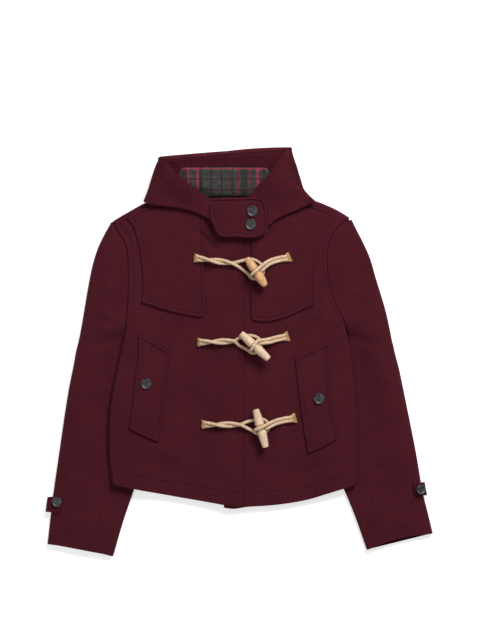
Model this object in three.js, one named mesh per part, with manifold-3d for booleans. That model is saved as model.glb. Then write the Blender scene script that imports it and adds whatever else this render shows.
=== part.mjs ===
// A short hooded duffle coat in thick double-faced wool, buttoned up and laid out flat on its back.
// Millimetres. X runs to the right of someone looking down at the coat, Y towards the hood, Z up.
// "Right" and "left" are the wearer's, so the right half lies at negative X.
import * as THREE from "three";
import { mergeVertices } from "three/addons/utils/BufferGeometryUtils.js";
import Module from "manifold-3d";

// Cloth and seams
const CLOTH = 2.6; // one layer of coat cloth
const HOOD_CLOTH = 3.0; // the hood is a little thicker, cloth with its own facing
const LINING = 1.6; // checked facing inside the back of the neck
const SEAM = 0.3; // gap between neighbouring pieces
const LAPPED = 0.5; // gap under a piece that lies on another
const ARMHOLE_STEP = 2.0; // the sleeve lies this much lower than the front at the armhole

// Folds at the edges of the laid-out coat, as outer radii
const SIDE_FOLD = 5.5; // where front rolls into back, at the sides and shoulders
const SLEEVE_FOLD = 6; // outer edge of a sleeve
const SLEEVE_LIFT = 9.1; // the body rides this high over the tucked part of a sleeve
const LIFT_RAMP = 60; // width of the slope up to that height
const LIFT_MARGIN = 9; // the slope ends this far short of the tucked sleeve

const LOFT = 5; // how much the fronts stand above their rolled edges
const LOFT_REACH = 40; // distance over which they rise to that
const OVERLAP = 3.2; // the right front lies this much higher where it laps over the left
const FRONT_EDGE = 17; // X of the right front's free edge
const UNDERLAP_EDGE = -20; // X of the left front's hidden edge
const OVERLAP_RAMP = 36; // width of the slope up to the overlap
const ARMPIT = 0.604; // share of the way up the side where the armhole begins

// The coat's outline: X of side seam and armhole at each height, from hem corner to shoulder tip
const SIDES = {
  right: [
    { y: -246, x: -225 },
    { y: -199, x: -232 },
    { y: -119, x: -232 },
    { y: -66, x: -225 },
    { y: 0, x: -211 },
    { y: 50, x: -201 },
    { y: 100, x: -197 },
    { y: 150, x: -196.5 },
    { y: 192, x: -199 },
    { y: 209, x: -206 },
    { y: 227, x: -217 },
    { y: 244, x: -225 },
  ],
  left: [
    { y: -247, x: 224 },
    { y: -199, x: 226.5 },
    { y: -119, x: 225 },
    { y: -66, x: 221 },
    { y: 0, x: 213 },
    { y: 53, x: 203 },
    { y: 100, x: 182 },
    { y: 132, x: 174 },
    { y: 165, x: 171 },
    { y: 196, x: 173 },
    { y: 228, x: 187 },
    { y: 250, x: 213 },
  ],
};
// The hem, and the top edge of the fronts: shoulder line, neck point, neckline
const HEM = [
  { x: -225, y: -246 },
  { x: -138, y: -262 },
  { x: -98, y: -269 },
  { x: -59, y: -275.5 },
  { x: -20, y: -282 },
  { x: 20, y: -285.5 },
  { x: 91, y: -280.5 },
  { x: 149, y: -270 },
  { x: 182, y: -259 },
  { x: 224, y: -247 },
];
const FRONT_TOP = [
  { x: -225, y: 244 },
  { x: -203, y: 257 },
  { x: -166, y: 277 },
  { x: -125, y: 291 },
  { x: -95, y: 298 },
  { x: -71, y: 276 },
  { x: -47, y: 262 },
  { x: -10, y: 234 },
  { x: 17, y: 234 },
  { x: 45, y: 258 },
  { x: 70, y: 300 },
  { x: 110, y: 293 },
  { x: 150, y: 281 },
  { x: 188, y: 265 },
  { x: 213, y: 250 },
];
const BACK_TOP = [
  { x: -225, y: 244 },
  { x: -203, y: 257 },
  { x: -166, y: 277 },
  { x: -125, y: 291 },
  { x: -95, y: 298 },
  { x: -60, y: 290 },
  { x: -12, y: 287 },
  { x: 35, y: 290 },
  { x: 70, y: 300 },
  { x: 110, y: 293 },
  { x: 150, y: 281 },
  { x: 188, y: 265 },
  { x: 213, y: 250 },
];
const NECK_CENTRE = -12;
const NECK_HALF = 83; // from the neck's centre to each neck point
const BACK_HEM_SHORT = 5; // the back's hem ends this much above the fronts'
const UNDERLAP_DROP = 5; // the left front's hidden corner hangs this much lower

// Large soft folds pressed into the laid-out fronts, each a straight trough or ridge with soft ends
const BODY_FOLDS = [
  { x0: -58, y0: 222, x1: -14, y1: 180, width: 16, depth: -1.6 },
  { x0: -196, y0: 60, x1: -150, y1: -20, width: 20, depth: 2.0 },
  { x0: 197, y0: 62, x1: 160, y1: -10, width: 20, depth: 2.0 },
  { x0: -180, y0: -212, x1: -60, y1: -236, width: 16, depth: -1.2 },
  { x0: 80, y0: -236, x1: 190, y1: -206, width: 16, depth: -1.2 },
];

// Each sleeve, keyed by the height of the inner end of a line across it. iy from the shoulder tip down
// to the armpit runs along the armhole; below that the inner edge (ix) is a fold tucked under the body.
// ox, oy: outer end. flat: share of the width after which the top layer lies flat. fold: inner radius.
// raised: how far the underside stands off the ground at the inner edge. rolled rows below the armpit.
const SLEEVES = {
  right: [
    { iy: 240, ox: -226, oy: 245, ix: -223, flat: 1, fold: 4.1, raised: 0, loft: 0 },
    { iy: 221, ox: -243, oy: 216, ix: -213, flat: 1, fold: 4.1, raised: 0, loft: 1.5 },
    { iy: 197, ox: -257, oy: 184, ix: -201, flat: 1, fold: 4.1, raised: 0, loft: 3 },
    { iy: 150, ox: -269, oy: 135, ix: -197, flat: 1, fold: 4.1, raised: 0, loft: 4 },
    { iy: 100, ox: -278, oy: 82, ix: -197, flat: 1, fold: 4.2, raised: 4, loft: 4 },
    { iy: 50, ox: -286.8, oy: 32, ix: -201.9, flat: 1, fold: 4.3, raised: 9.1, loft: 4 },
    { iy: 38, ox: -289.5, oy: 20, ix: -204.4, flat: 1, fold: 4.2, raised: 5, loft: 4.5 },
    { iy: 30, ox: -291.5, oy: 12, ix: -206.3, flat: 0.98, fold: 4.1, raised: 1.6, loft: 4.8 },
    { iy: 22, ox: -293.5, oy: 4, ix: -206, flat: 0.95, fold: 4.1, raised: 0, loft: 5 },
    { iy: 8, ox: -296, oy: -9, ix: -204, flat: 0.88, fold: 4.1, raised: 0, loft: 5.3 },
    { iy: -14, ox: -299.5, oy: -29, ix: -196, flat: 0.72, fold: 4.1, raised: 0, loft: 6 },
    { iy: -60, ox: -307.5, oy: -68, ix: -174, flat: 0.5, fold: 4.1, raised: 0, loft: 7 },
    { iy: -140, ox: -319.8, oy: -148, ix: -165, flat: 0.46, fold: 4.1, raised: 0, loft: 7 },
    { iy: -205, ox: -329, oy: -212, ix: -173, flat: 0.49, fold: 4.1, raised: 0, loft: 6.5 },
    { iy: -258, ox: -336.5, oy: -264, ix: -188, flat: 0.6, fold: 4.1, raised: 0, loft: 6 },
    { iy: -312, ox: -341.5, oy: -306, ix: -206, flat: 0.95, fold: 5.2, raised: 0, loft: 5.5 },
    { iy: -378, ox: -347, oy: -355, ix: -225, flat: 1, fold: 6, raised: 0, loft: 5 },
  ],
  left: [
    { iy: 246, ox: 214, oy: 252, ix: 209, flat: 1, fold: 4.1, raised: 0, loft: 0 },
    { iy: 225, ox: 232, oy: 216, ix: 184, flat: 1, fold: 4.1, raised: 0, loft: 1.5 },
    { iy: 197, ox: 249, oy: 181, ix: 173, flat: 1, fold: 4.1, raised: 0, loft: 3 },
    { iy: 150, ox: 263, oy: 134, ix: 172, flat: 1, fold: 4.1, raised: 0, loft: 4 },
    { iy: 100, ox: 278.5, oy: 84, ix: 182, flat: 1, fold: 4.2, raised: 4, loft: 4 },
    { iy: 53, ox: 289.3, oy: 36, ix: 203.5, flat: 1, fold: 4.3, raised: 9.1, loft: 4 },
    { iy: 41, ox: 291.5, oy: 24, ix: 206.4, flat: 1, fold: 4.2, raised: 5, loft: 4.5 },
    { iy: 33, ox: 293.5, oy: 16, ix: 208.2, flat: 0.98, fold: 4.1, raised: 1.6, loft: 4.8 },
    { iy: 25, ox: 295.5, oy: 8, ix: 207.8, flat: 0.95, fold: 4.1, raised: 0, loft: 5 },
    { iy: 11, ox: 298.5, oy: -6, ix: 205.5, flat: 0.88, fold: 4.1, raised: 0, loft: 5.3 },
    { iy: -12, ox: 304.5, oy: -28, ix: 197, flat: 0.72, fold: 4.1, raised: 0, loft: 6 },
    { iy: -60, ox: 313.3, oy: -70, ix: 174, flat: 0.5, fold: 4.1, raised: 0, loft: 7 },
    { iy: -135, ox: 327.5, oy: -140, ix: 168, flat: 0.48, fold: 4.1, raised: 0, loft: 7 },
    { iy: -205, ox: 340.8, oy: -210, ix: 182, flat: 0.52, fold: 4.1, raised: 0, loft: 6.5 },
    { iy: -252, ox: 347.7, oy: -254, ix: 202, flat: 0.65, fold: 4.1, raised: 0, loft: 6 },
    { iy: -306, ox: 357.5, oy: -294, ix: 224, flat: 0.95, fold: 5.2, raised: 0, loft: 5.5 },
    { iy: -366, ox: 367.5, oy: -335.5, ix: 245, flat: 1, fold: 6, raised: 0, loft: 5 },
  ],
};
const CUFF_BOW = { right: 3, left: 7 }; // the cuff's upper edge bows back by this much

// Each half of the hood is one piece: from its rim (r) out to a fold (o), under, and back to its seam (s)
// at the neck or along the hood's centre. Rows run from throat to crown; heights are of the outer face.
// bow: how far the hidden layer bends towards the crown between fold and seam.
const HOOD_FOLD = 4;
const HOOD_SEAM_X = -15;
// The crown edge runs on by this much, and curls down by these shares of it from rim over fold to seam
const HOOD_TOP_FOLD = { upper: 3.6, under: 6 };
const HOOD_CURL = [1, 0.85, 0.6, 0.3, 0.15, 0.05, 0, 0.05, 0.2, 0.45, 0.75, 0.95, 1, 1];
const HOOD = {
  right: [
    { rx: -47, ry: 286, rz: 30.8, ox: -48, oy: 246, oz: 28.4, sx: -47, sy: 268, sz: 20.2, bow: 0 },
    { rx: -58, ry: 292.5, rz: 34, ox: -71, oy: 257, oz: 28.4, sx: -62, sy: 276, sz: 20.2, bow: 0 },
    { rx: -71, ry: 300.5, rz: 38, ox: -99, oy: 265.5, oz: 28.4, sx: -80, sy: 287, sz: 20.2, bow: 0 },
    { rx: -92, ry: 317, rz: 42, ox: -137, oy: 270, oz: 28.4, sx: -97, sy: 300, sz: 20.2, bow: 0 },
    { rx: -103, ry: 328, rz: 44, ox: -158, oy: 273.5, oz: 28.4, sx: -101, sy: 305, sz: 18.8, bow: 0 },
    { rx: -107, ry: 332, rz: 45, ox: -168, oy: 280, oz: 28.4, sx: -90, sy: 306, sz: 16, bow: 8 },
    { rx: -113, ry: 338, rz: 46, ox: -161, oy: 298, oz: 29.5, sx: -66, sy: 305.5, sz: 11.5, bow: 10 },
    { rx: -117, ry: 342, rz: 47, ox: -156.5, oy: 312, oz: 32, sx: -38, sy: 305, sz: 8.2, bow: 5 },
    { rx: -121, ry: 346.5, rz: 47.5, ox: -152, oy: 326, oz: 35, sx: -15, sy: 305, sz: 7.5, bow: 2 },
    { rx: -124.5, ry: 350, rz: 48, ox: -148, oy: 338, oz: 38.5, sx: -15, sy: 330, sz: 19, bow: 4 },
    { rx: -127.5, ry: 353.5, rz: 48.3, ox: -144.5, oy: 347, oz: 42, sx: -15, sy: 351, sz: 28, bow: 5 },
    { rx: -130, ry: 357.5, rz: 48.5, ox: -141, oy: 354, oz: 44.5, sx: -15, sy: 363, sz: 33, bow: 0.5 },
  ],
  left: [
    { rx: 2, ry: 280, rz: 28.4, ox: 18, oy: 228, oz: 28.4, sx: 8, sy: 254, sz: 20.2, bow: 0 },
    { rx: 28, ry: 289, rz: 28.4, ox: 60, oy: 232, oz: 28.4, sx: 40, sy: 264, sz: 20.2, bow: 0 },
    { rx: 38, ry: 303, rz: 31.5, ox: 74, oy: 243, oz: 28.4, sx: 56, sy: 278, sz: 20.2, bow: 0 },
    { rx: 54, ry: 318, rz: 39, ox: 103, oy: 257, oz: 28.4, sx: 72, sy: 294, sz: 20.2, bow: 0 },
    { rx: 65, ry: 331, rz: 43, ox: 135, oy: 271, oz: 28.4, sx: 82, sy: 304, sz: 20, bow: 0 },
    { rx: 70, ry: 338, rz: 44.5, ox: 149, oy: 280, oz: 28.4, sx: 74, sy: 306, sz: 17, bow: 5 },
    { rx: 75, ry: 345, rz: 46, ox: 130, oy: 299, oz: 29.5, sx: 44, sy: 305.5, sz: 11, bow: 9 },
    { rx: 79, ry: 350.5, rz: 47, ox: 124, oy: 314.5, oz: 32, sx: 10, sy: 305, sz: 8.2, bow: 6 },
    { rx: 82, ry: 355, rz: 47.5, ox: 118.8, oy: 330, oz: 35, sx: -15, sy: 305, sz: 7.5, bow: 4 },
    { rx: 85, ry: 359.5, rz: 48, ox: 115, oy: 343, oz: 38.5, sx: -15, sy: 330, sz: 19, bow: 5 },
    { rx: 89.5, ry: 365, rz: 48.3, ox: 110.5, oy: 355, oz: 42, sx: -15, sy: 351, sz: 28, bow: 5 },
    { rx: 93, ry: 373.5, rz: 48.5, ox: 106, oy: 370.5, oz: 44.5, sx: -15, sy: 363, sz: 33, bow: 2 },
  ],
};
// The hood's crown is folded up behind it, as layers that spread from the neck
const CROWN_LAYERS = 3;
const CROWN_GROOVE = 3; // depth of the rounded groove between two layers
const CROWN_GAP = 1;
const CROWN_OUTLINE = [
  { x: -100, y: 316 },
  { x: -15, y: 311 },
  { x: 72, y: 316 },
  { x: 96, y: 336 },
  { x: 93, y: 356 },
  { x: 50, y: 363 },
  { x: -15, y: 361 },
  { x: -90, y: 354 },
  { x: -124, y: 345 },
  { x: -124, y: 330 },
];

// Flat pieces sewn on, as the four edges of each in plan: bottom and top run towards positive X,
// west and east run upwards, and each pair starts and ends at a shared corner.
const YOKES = {
  right: {
    bottom: [[-172, 92], [-125, 77], [-95, 70], [-63, 65], [-58, 67]],
    east: [[-58, 67], [-56, 73], [-56, 170], [-56, 258]],
    top: [[-200, 248.5], [-166, 268.5], [-130, 277], [-90, 274], [-56, 258]],
    west: [[-172, 92], [-170, 100], [-170, 153], [-176, 196], [-182, 220], [-189, 237], [-200, 248.5]],
  },
  left: {
    bottom: [[33, 59.5], [38, 58], [66, 57], [98, 66], [126, 79], [145, 86]],
    east: [[145, 86], [145, 158], [156, 197], [161, 215], [176, 238], [185, 256]],
    top: [[31, 238], [60, 264], [100, 278], [150, 271], [185, 256]],
    west: [[33, 59.5], [31, 65], [31, 150], [31, 238]],
  },
};
const FLAPS = {
  right: {
    bottom: [[-195, -141], [-168, -155], [-140, -166]],
    east: [[-140, -166], [-130, -82], [-120, 2]],
    top: [[-178, 37], [-150, 18], [-120, 2]],
    west: [[-195, -141], [-189, -105], [-183, -42], [-178, -11], [-178, 37]],
    button: [-163, -57.5],
  },
  left: {
    bottom: [[136, -188], [163, -175], [191, -159]],
    east: [[191, -159], [179, -102], [174, -41], [175, 20]],
    top: [[112, -10], [143, 4], [175, 20]],
    west: [[136, -188], [124, -114], [112, -10]],
    button: [156, -85],
  },
};
const FLAP_RIDGE = 0.8; // raised, turned-in edges at the top and bottom of a flap
const TAB = {
  bottom: [[-46, 246.5], [-35, 226], [-24, 211.5], [-5, 213], [19, 211], [45, 213], [57, 220]],
  east: [[57, 220], [61.5, 227], [60, 255], [57, 277], [52, 283.5]],
  top: [[-46, 285], [0, 286], [40, 286], [52, 283.5]],
  west: [[-46, 246.5], [-46, 265], [-46, 285]],
};
const TAB_HEIGHT = { atHood: 27.2, overLeft: 29.2 }; // height of its underside at each end
const LINING_PATCH = {
  bottom: [[-66, 289], [-12, 290], [42, 289]],
  east: [[42, 289], [58, 303], [67, 320], [63, 336], [57, 341]],
  top: [[-94, 341], [-50, 341.5], [10, 341.5], [57, 341]],
  west: [[-66, 289], [-90, 303], [-103, 320], [-100, 336], [-94, 341]],
};
const NECK_PATCH = {
  bottom: [[-47, 262], [-11, 262], [25, 262]],
  east: [[25, 262], [25, 274], [25, 286.5]],
  top: [[-47, 286.5], [-11, 286], [25, 286.5]],
  west: [[-47, 262], [-47, 274], [-47, 286.5]],
};

// Buttons: a rimmed disc with four thread holes
const BUTTON = { diameter: 20, height: 3.4, rim: 2.4, dish: 1, hole: 2.2, spacing: 4.6 };
const TAB_BUTTONS = { upper: [32.6, 260.6], lower: [29.5, 236] };
const CUFF_BUTTON_DIAMETER = 18.5;
const SEGMENTS = 14;

// Cuff straps: sewn into the outer sleeve seam and turned back over it. Each point of the path is a
// distance inwards from the sleeve's edge and a height. The button lies above the strap's middle.
const CUFFS = {
  right: {
    iy: -280,
    width: 30,
    button: 10,
    above: 6,
    tilt: 6,
    path: [
      [-1, 6.6], [-5, 6.4], [-8.2, 7.6], [-8.6, 10.2],
      [-5.6, 12.8], [-0.5, 14.2], [7, 15.4], [17, 17.6],
    ],
  },
  left: {
    iy: -251,
    width: 24,
    button: 4,
    above: 0,
    tilt: 24,
    path: [
      [-1, 6.6], [-3.2, 6.5], [-5.6, 7.6], [-5.6, 10],
      [-3.4, 12.6], [0, 14.4], [7, 15.8], [16, 18],
    ],
  },
};

// Toggles: upper and lower are the tips of the wood, in plan. The loop comes from its sewn end (loop) to
// where its strands part (part); eye is its opening, as distances across and along the wood from its
// middle. cord is the sewn end of the toggle's own cord, and bow how far that cord bends upwards.
const TOGGLE = { diameter: 18, tip: 11.5, groove: 12.6, grooveWidth: 11, height: 16.4 };
const ROPE = 6.2;
const TWIST = 6.5; // distance between the centres of two strands lying together
const TOGGLES = [
  {
    upper: [22, 175],
    lower: [57.5, 122],
    loop: [-69, 174],
    part: [-6, 165],
    cord: [98, 175],
    bow: 6,
    turns: 1.5,
    eye: [
      [-13, 33], [-5, 30], [5, 25.5], [12, 17], [15.5, 6], [14, -3.5], [8, -9.5],
      [0, -10.5], [-8, -9.5], [-13, -4], [-14, 5], [-17.5, 16], [-21.5, 26],
    ],
  },
  {
    upper: [11.5, 35.5],
    lower: [63, -12],
    loop: [-63, 19],
    part: [-1, 21],
    cord: [95, 29],
    bow: 2,
    turns: 1.5,
    eye: [
      [-10, 31.5], [2, 25.5], [9.5, 18.5], [14.5, 8], [14, -3], [8, -9.5],
      [0, -10.5], [-8, -9.5], [-13, -4], [-14, 4], [-15.5, 12], [-18.5, 22],
    ],
  },
  {
    upper: [39, -104.5],
    lower: [57.5, -174.5],
    loop: [-55, -133],
    part: [10, -133],
    cord: [108, -122],
    bow: 2.5,
    turns: 1.5,
    eye: [
      [-19.5, 17.8], [-10, 17.4], [0, 16.5], [8.6, 14], [14, 7.5], [14.6, 0], [12, -7], [4.5, -10.5],
      [-4, -10.2], [-10.5, -7], [-16, -1], [-23, 5],
    ],
  },
];
// Flattened rope ends, bound and sewn down
const END = { length: 9, thickness: 6.6, cordWidth: 19, loopWidth: 17 };

const UP = 1;
const DOWN = -1;

function mix(a, b, t) {
  return a + (b - a) * t;
}

function ease(t) {
  const c = Math.min(1, Math.max(0, t));
  return c * c * (3 - 2 * c);
}

function radians(degrees) {
  return (degrees * Math.PI) / 180;
}

// A smooth value of one column of a table at a value of its key column (rows in either order).
function along(table, key, column, at) {
  const rows = table[0][key] <= table[table.length - 1][key] ? table : [...table].reverse();
  const last = rows.length - 1;
  const k = Math.min(last - 1, Math.max(0, rows.findIndex((row) => row[key] > at) - 1));
  const i = at >= rows[last][key] ? last - 1 : k;
  const slope = (n) => {
    const a = rows[Math.max(0, n - 1)];
    const b = rows[Math.min(last, n + 1)];
    return (b[column] - a[column]) / (b[key] - a[key]);
  };
  const [a, b] = [rows[i], rows[i + 1]];
  const h = b[key] - a[key];
  const t = Math.min(1, Math.max(0, (at - a[key]) / h));
  const [t2, t3] = [t * t, t * t * t];
  return (
    (2 * t3 - 3 * t2 + 1) * a[column] +
    (t3 - 2 * t2 + t) * h * slope(i) +
    (3 * t2 - 2 * t3) * b[column] +
    (t3 - t2) * h * slope(i + 1)
  );
}

// Evenly spaced values, both ends included.
function steps(from, to, count) {
  return Array.from({ length: count + 1 }, (_, i) => mix(from, to, i / count));
}

// Outward unit normals of a grid of points whose rows run up Y and columns along X.
function normalsOf(grid, facing) {
  const rows = grid.length - 1;
  const columns = grid[0].length - 1;
  const change = (at, n, last) => {
    if (n === 0) return at(1).clone().multiplyScalar(4).sub(at(2)).addScaledVector(at(0), -3);
    if (n === last) {
      return at(last).clone().multiplyScalar(3).addScaledVector(at(last - 1), -4).add(at(last - 2));
    }
    return at(n + 1).clone().sub(at(n - 1));
  };
  return grid.map((row, i) =>
    row.map((_, j) => {
      const dx = change((n) => grid[i][n], j, columns);
      const dy = change((n) => grid[n][j], i, rows);
      return dx.cross(dy).normalize().multiplyScalar(facing);
    }),
  );
}

// The grid moved outwards along its normals. hold(i, j) names points that move another way: "plumb"
// ones straight up or down, "level" ones without changing height, "in plane" ones without changing x.
function moved(grid, distance, facing = UP, hold = () => "") {
  const normals = normalsOf(grid, facing);
  return grid.map((row, i) =>
    row.map((p, j) => {
      const way = normals[i][j].clone();
      if (hold(i, j) === "plumb") way.set(0, 0, facing);
      if (hold(i, j) === "level") way.setZ(0).normalize();
      if (hold(i, j) === "in plane") way.setX(0).normalize();
      return p.clone().addScaledVector(way, distance);
    }),
  );
}

// A closed solid between two grids of the same size, the first one facing up.
function between(upper, lower) {
  const rows = upper.length;
  const columns = upper[0].length;
  const positions = [...upper.flat(), ...lower.flat()].flatMap((p) => [p.x, p.y, p.z]);
  const top = (i, j) => i * columns + j;
  const bottom = (i, j) => rows * columns + i * columns + j;
  const index = [];
  const quad = (a, b, c, d) => index.push(a, b, c, a, c, d);
  for (let i = 0; i < rows - 1; i++) {
    for (let j = 0; j < columns - 1; j++) {
      quad(top(i, j), top(i, j + 1), top(i + 1, j + 1), top(i + 1, j));
      quad(bottom(i, j), bottom(i + 1, j), bottom(i + 1, j + 1), bottom(i, j + 1));
    }
  }
  for (let j = 0; j < columns - 1; j++) {
    quad(bottom(0, j), bottom(0, j + 1), top(0, j + 1), top(0, j));
    quad(top(rows - 1, j), top(rows - 1, j + 1), bottom(rows - 1, j + 1), bottom(rows - 1, j));
  }
  for (let i = 0; i < rows - 1; i++) {
    quad(top(i, 0), top(i + 1, 0), bottom(i + 1, 0), bottom(i, 0));
    quad(bottom(i, columns - 1), bottom(i + 1, columns - 1), top(i + 1, columns - 1), top(i, columns - 1));
  }
  const geometry = new THREE.BufferGeometry();
  geometry.setAttribute("position", new THREE.Float32BufferAttribute(positions, 3));
  geometry.setIndex(index);
  return geometry;
}

// A cloth wall: the grid is its outer face, and the inner face lies one thickness behind it.
function wall(grid, thickness, facing = UP, hold) {
  const inner = moved(grid, -thickness, facing, hold);
  return facing === UP ? between(grid, inner) : between(inner, grid);
}

// How far a rolled edge of this radius lies below the flat cloth, at a distance from the edge.
function roll(radius, distance) {
  if (distance >= radius) return 0;
  const reach = radius - Math.max(0, distance);
  return radius - Math.sqrt(Math.max(0, radius * radius - reach * reach));
}

// Distances from a rolled edge at even angles round it, starting just clear of the seam at its middle.
function rollDistances(radius, count) {
  const first = Math.asin(SEAM / 2 / radius);
  return steps(first, Math.PI / 2, count).map((angle) => radius * (1 - Math.cos(angle)));
}

const sign = { right: -1, left: 1 };

function sideX(side, y) {
  return along(SIDES[side], "y", "x", y);
}

function armpitY(side) {
  const rows = SIDES[side];
  return mix(rows[0].y, rows[rows.length - 1].y, ARMPIT);
}

function sideOf(x) {
  return x < NECK_CENTRE ? "right" : "left";
}

// Height of the back's underside: zero, or raised where a sleeve is tucked under the body.
function lift(x, y) {
  const side = sideOf(x);
  const tucked = Math.abs(along(SLEEVES[side], "iy", "ix", y));
  const across = ease((Math.abs(x) - (tucked - LIFT_MARGIN - LIFT_RAMP)) / LIFT_RAMP);
  return SLEEVE_LIFT * across * (1 - ease((y - armpitY(side)) / 70));
}

function foldHeight(folds, x, y) {
  return folds.reduce((sum, f) => {
    const [dx, dy] = [f.x1 - f.x0, f.y1 - f.y0];
    const t = ((x - f.x0) * dx + (y - f.y0) * dy) / (dx * dx + dy * dy);
    const c = Math.min(1, Math.max(0, t));
    const away = Math.hypot(x - f.x0 - c * dx, y - f.y0 - c * dy) / f.width;
    return sum + f.depth * Math.exp(-away * away) * Math.sin(Math.PI * mix(0.12, 0.88, c));
  }, 0);
}

// Distances to the rolled edges, and how much each edge is rolled there rather than cut open.
function edges(x, y, top) {
  const side = sideOf(x);
  const armpit = armpitY(side);
  const neck = Math.abs(x - NECK_CENTRE) - NECK_HALF;
  return {
    side: Math.max(0, (sideX(side, y) - x) * sign[side]),
    top: Math.max(0, along(top, "x", "y", x) - y),
    sideRolled: 1 - ease((y - armpit) / 8),
    topRolled: ease(neck / 12),
    sideNear: 1 - ease((y - armpit) / 80),
  };
}

// Height of the laid-out fronts' outer face.
function frontHeight(x, y) {
  const e = edges(x, y, FRONT_TOP);
  const reach = (d) => 1 - Math.exp(-d / LOFT_REACH);
  const loft = LOFT * mix(1, reach(e.top), e.topRolled) * mix(1, reach(e.side), e.sideNear);
  const rolled = e.sideRolled * roll(SIDE_FOLD, e.side) + e.topRolled * roll(SIDE_FOLD, e.top);
  const away = Math.min(1, Math.min(e.side, e.top + 200 * (1 - e.topRolled)) / 25);
  return lift(x, y) + 2 * SIDE_FOLD + loft + away * foldHeight(BODY_FOLDS, x, y) - rolled;
}

// Height of the top cloth at a point of the front, the overlap at the centre included.
function coatHeight(x, y) {
  const over = x > FRONT_EDGE ? 0 : ease((x - UNDERLAP_EDGE + OVERLAP_RAMP + 6) / OVERLAP_RAMP);
  return frontHeight(x, y) + OVERLAP * over;
}

// Height of the back's outer, lower face.
function backHeight(x, y) {
  const e = edges(x, y, BACK_TOP);
  return lift(x, y) + e.sideRolled * roll(SIDE_FOLD, e.side) + e.topRolled * roll(SIDE_FOLD, e.top);
}

// Shares up the side at which every body panel and the armhole end of each sleeve have a row.
const LOWER_ROWS = [0, 0.05, 0.13, 0.22, 0.31, 0.4, 0.47, 0.53, 0.57, ARMPIT];
const ARMHOLE_ROWS = [0.63, 0.68, 0.75, 0.82, 0.88, 0.93, 0.965, 0.985];

// A panel between an inner edge and the side seam. Rows go from hem to shoulder.
function panelGrid({ inner, side, hem, top, height, columns, rolls, facing }) {
  const outline = SIDES[side];
  const tip = outline[outline.length - 1];
  const corner = outline[0];
  const edgeDistances = rollDistances(SIDE_FOLD, rolls);
  const rowAt = (share, down) =>
    columns.map((u) => {
      const base = mix(inner, corner.x, u);
      const peak = mix(inner, tip.x, u);
      const y = mix(hem(base), top(peak) - down, share);
      return { u, y };
    });
  const rows = [...LOWER_ROWS, ...ARMHOLE_ROWS].map((share) => rowAt(share, 0));
  const place = (row) => {
    const sideY = row[row.length - 1].y;
    const edge = sideX(side, sideY);
    const flatEdge = edge - sign[side] * SIDE_FOLD;
    const flat = row.map(({ u, y }) => [mix(inner, flatEdge, u), y]);
    const rolled = edgeDistances
      .slice(0, -1)
      .reverse()
      .map((d) => [edge - sign[side] * d, sideY]);
    const points = [...flat, ...rolled].map(([x, y]) => new THREE.Vector3(x, y, height(x, y)));
    return side === "left" ? points : points.reverse();
  };
  const grid = rows.map(place);
  const shoulder = edgeDistances.slice(0, -1).reverse();
  const topRows = [SIDE_FOLD, ...shoulder].map((d) =>
    grid[0].map((_, j) => {
      const n = side === "left" ? j : grid[0].length - 1 - j;
      const u = n < columns.length ? columns[n] : 1;
      const edgeX = n < columns.length ? 0 : edgeDistances[grid[0].length - 1 - n];
      const square = n < columns.length
        ? mix(inner, tip.x - sign[side] * SIDE_FOLD, u)
        : tip.x - sign[side] * edgeX;
      const y = top(square) - d;
      const x = square + (sideX(side, top(tip.x) - d) - tip.x) * u;
      return new THREE.Vector3(x, y, height(x, y));
    }),
  );
  return [...grid, ...topRows];
}

const FRONT_COLUMNS = [0, 0.08, 0.17, 0.28, 0.4, 0.53, 0.66, 0.78, 0.88, 0.95, 1];
const BACK_COLUMNS = [0, 0.14, 0.3, 0.46, 0.62, 0.76, 0.88, 1];

function hemAt(x) {
  return along(HEM, "x", "y", x);
}

// Seam edges: level at rolled seams, plumb along the armhole.
function bodyHold(grid, side) {
  const seam = side === "left" ? grid[0].length - 1 : 0;
  const armhole = LOWER_ROWS.length;
  const tip = armhole + ARMHOLE_ROWS.length;
  return (i, j) => {
    if (j !== seam) return "";
    if (i < armhole) return "level";
    return i < tip ? "plumb" : "";
  };
}

function frontGrid(side) {
  const isRight = side === "right";
  return panelGrid({
    inner: isRight ? FRONT_EDGE : UNDERLAP_EDGE,
    side,
    hem: (x) => hemAt(x) - (isRight ? 0 : UNDERLAP_DROP * ease((FRONT_EDGE + 8 - x) / 20)),
    top: (x) => along(FRONT_TOP, "x", "y", x),
    height: isRight ? coatHeight : frontHeight,
    columns: FRONT_COLUMNS,
    rolls: 3,
  });
}

// The back is two half-grids that share the middle column.
function back() {
  const half = (side) =>
    panelGrid({
      inner: NECK_CENTRE,
      side,
      hem: (x) => hemAt(x) + BACK_HEM_SHORT * ease((Math.abs(x - sideX(side, -246)) - 10) / 60),
      top: (x) => along(BACK_TOP, "x", "y", x),
      height: backHeight,
      columns: BACK_COLUMNS,
      rolls: 3,
    });
  const right = half("right");
  const left = half("left");
  const grid = right.map((row, i) => [...row, ...left[i].slice(1)]);
  const holds = [bodyHold(grid, "right"), bodyHold(grid, "left")];
  return wall(grid, CLOTH, DOWN, (i, j) => holds.map((hold) => hold(i, j)).find((way) => way) ?? "");
}

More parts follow.
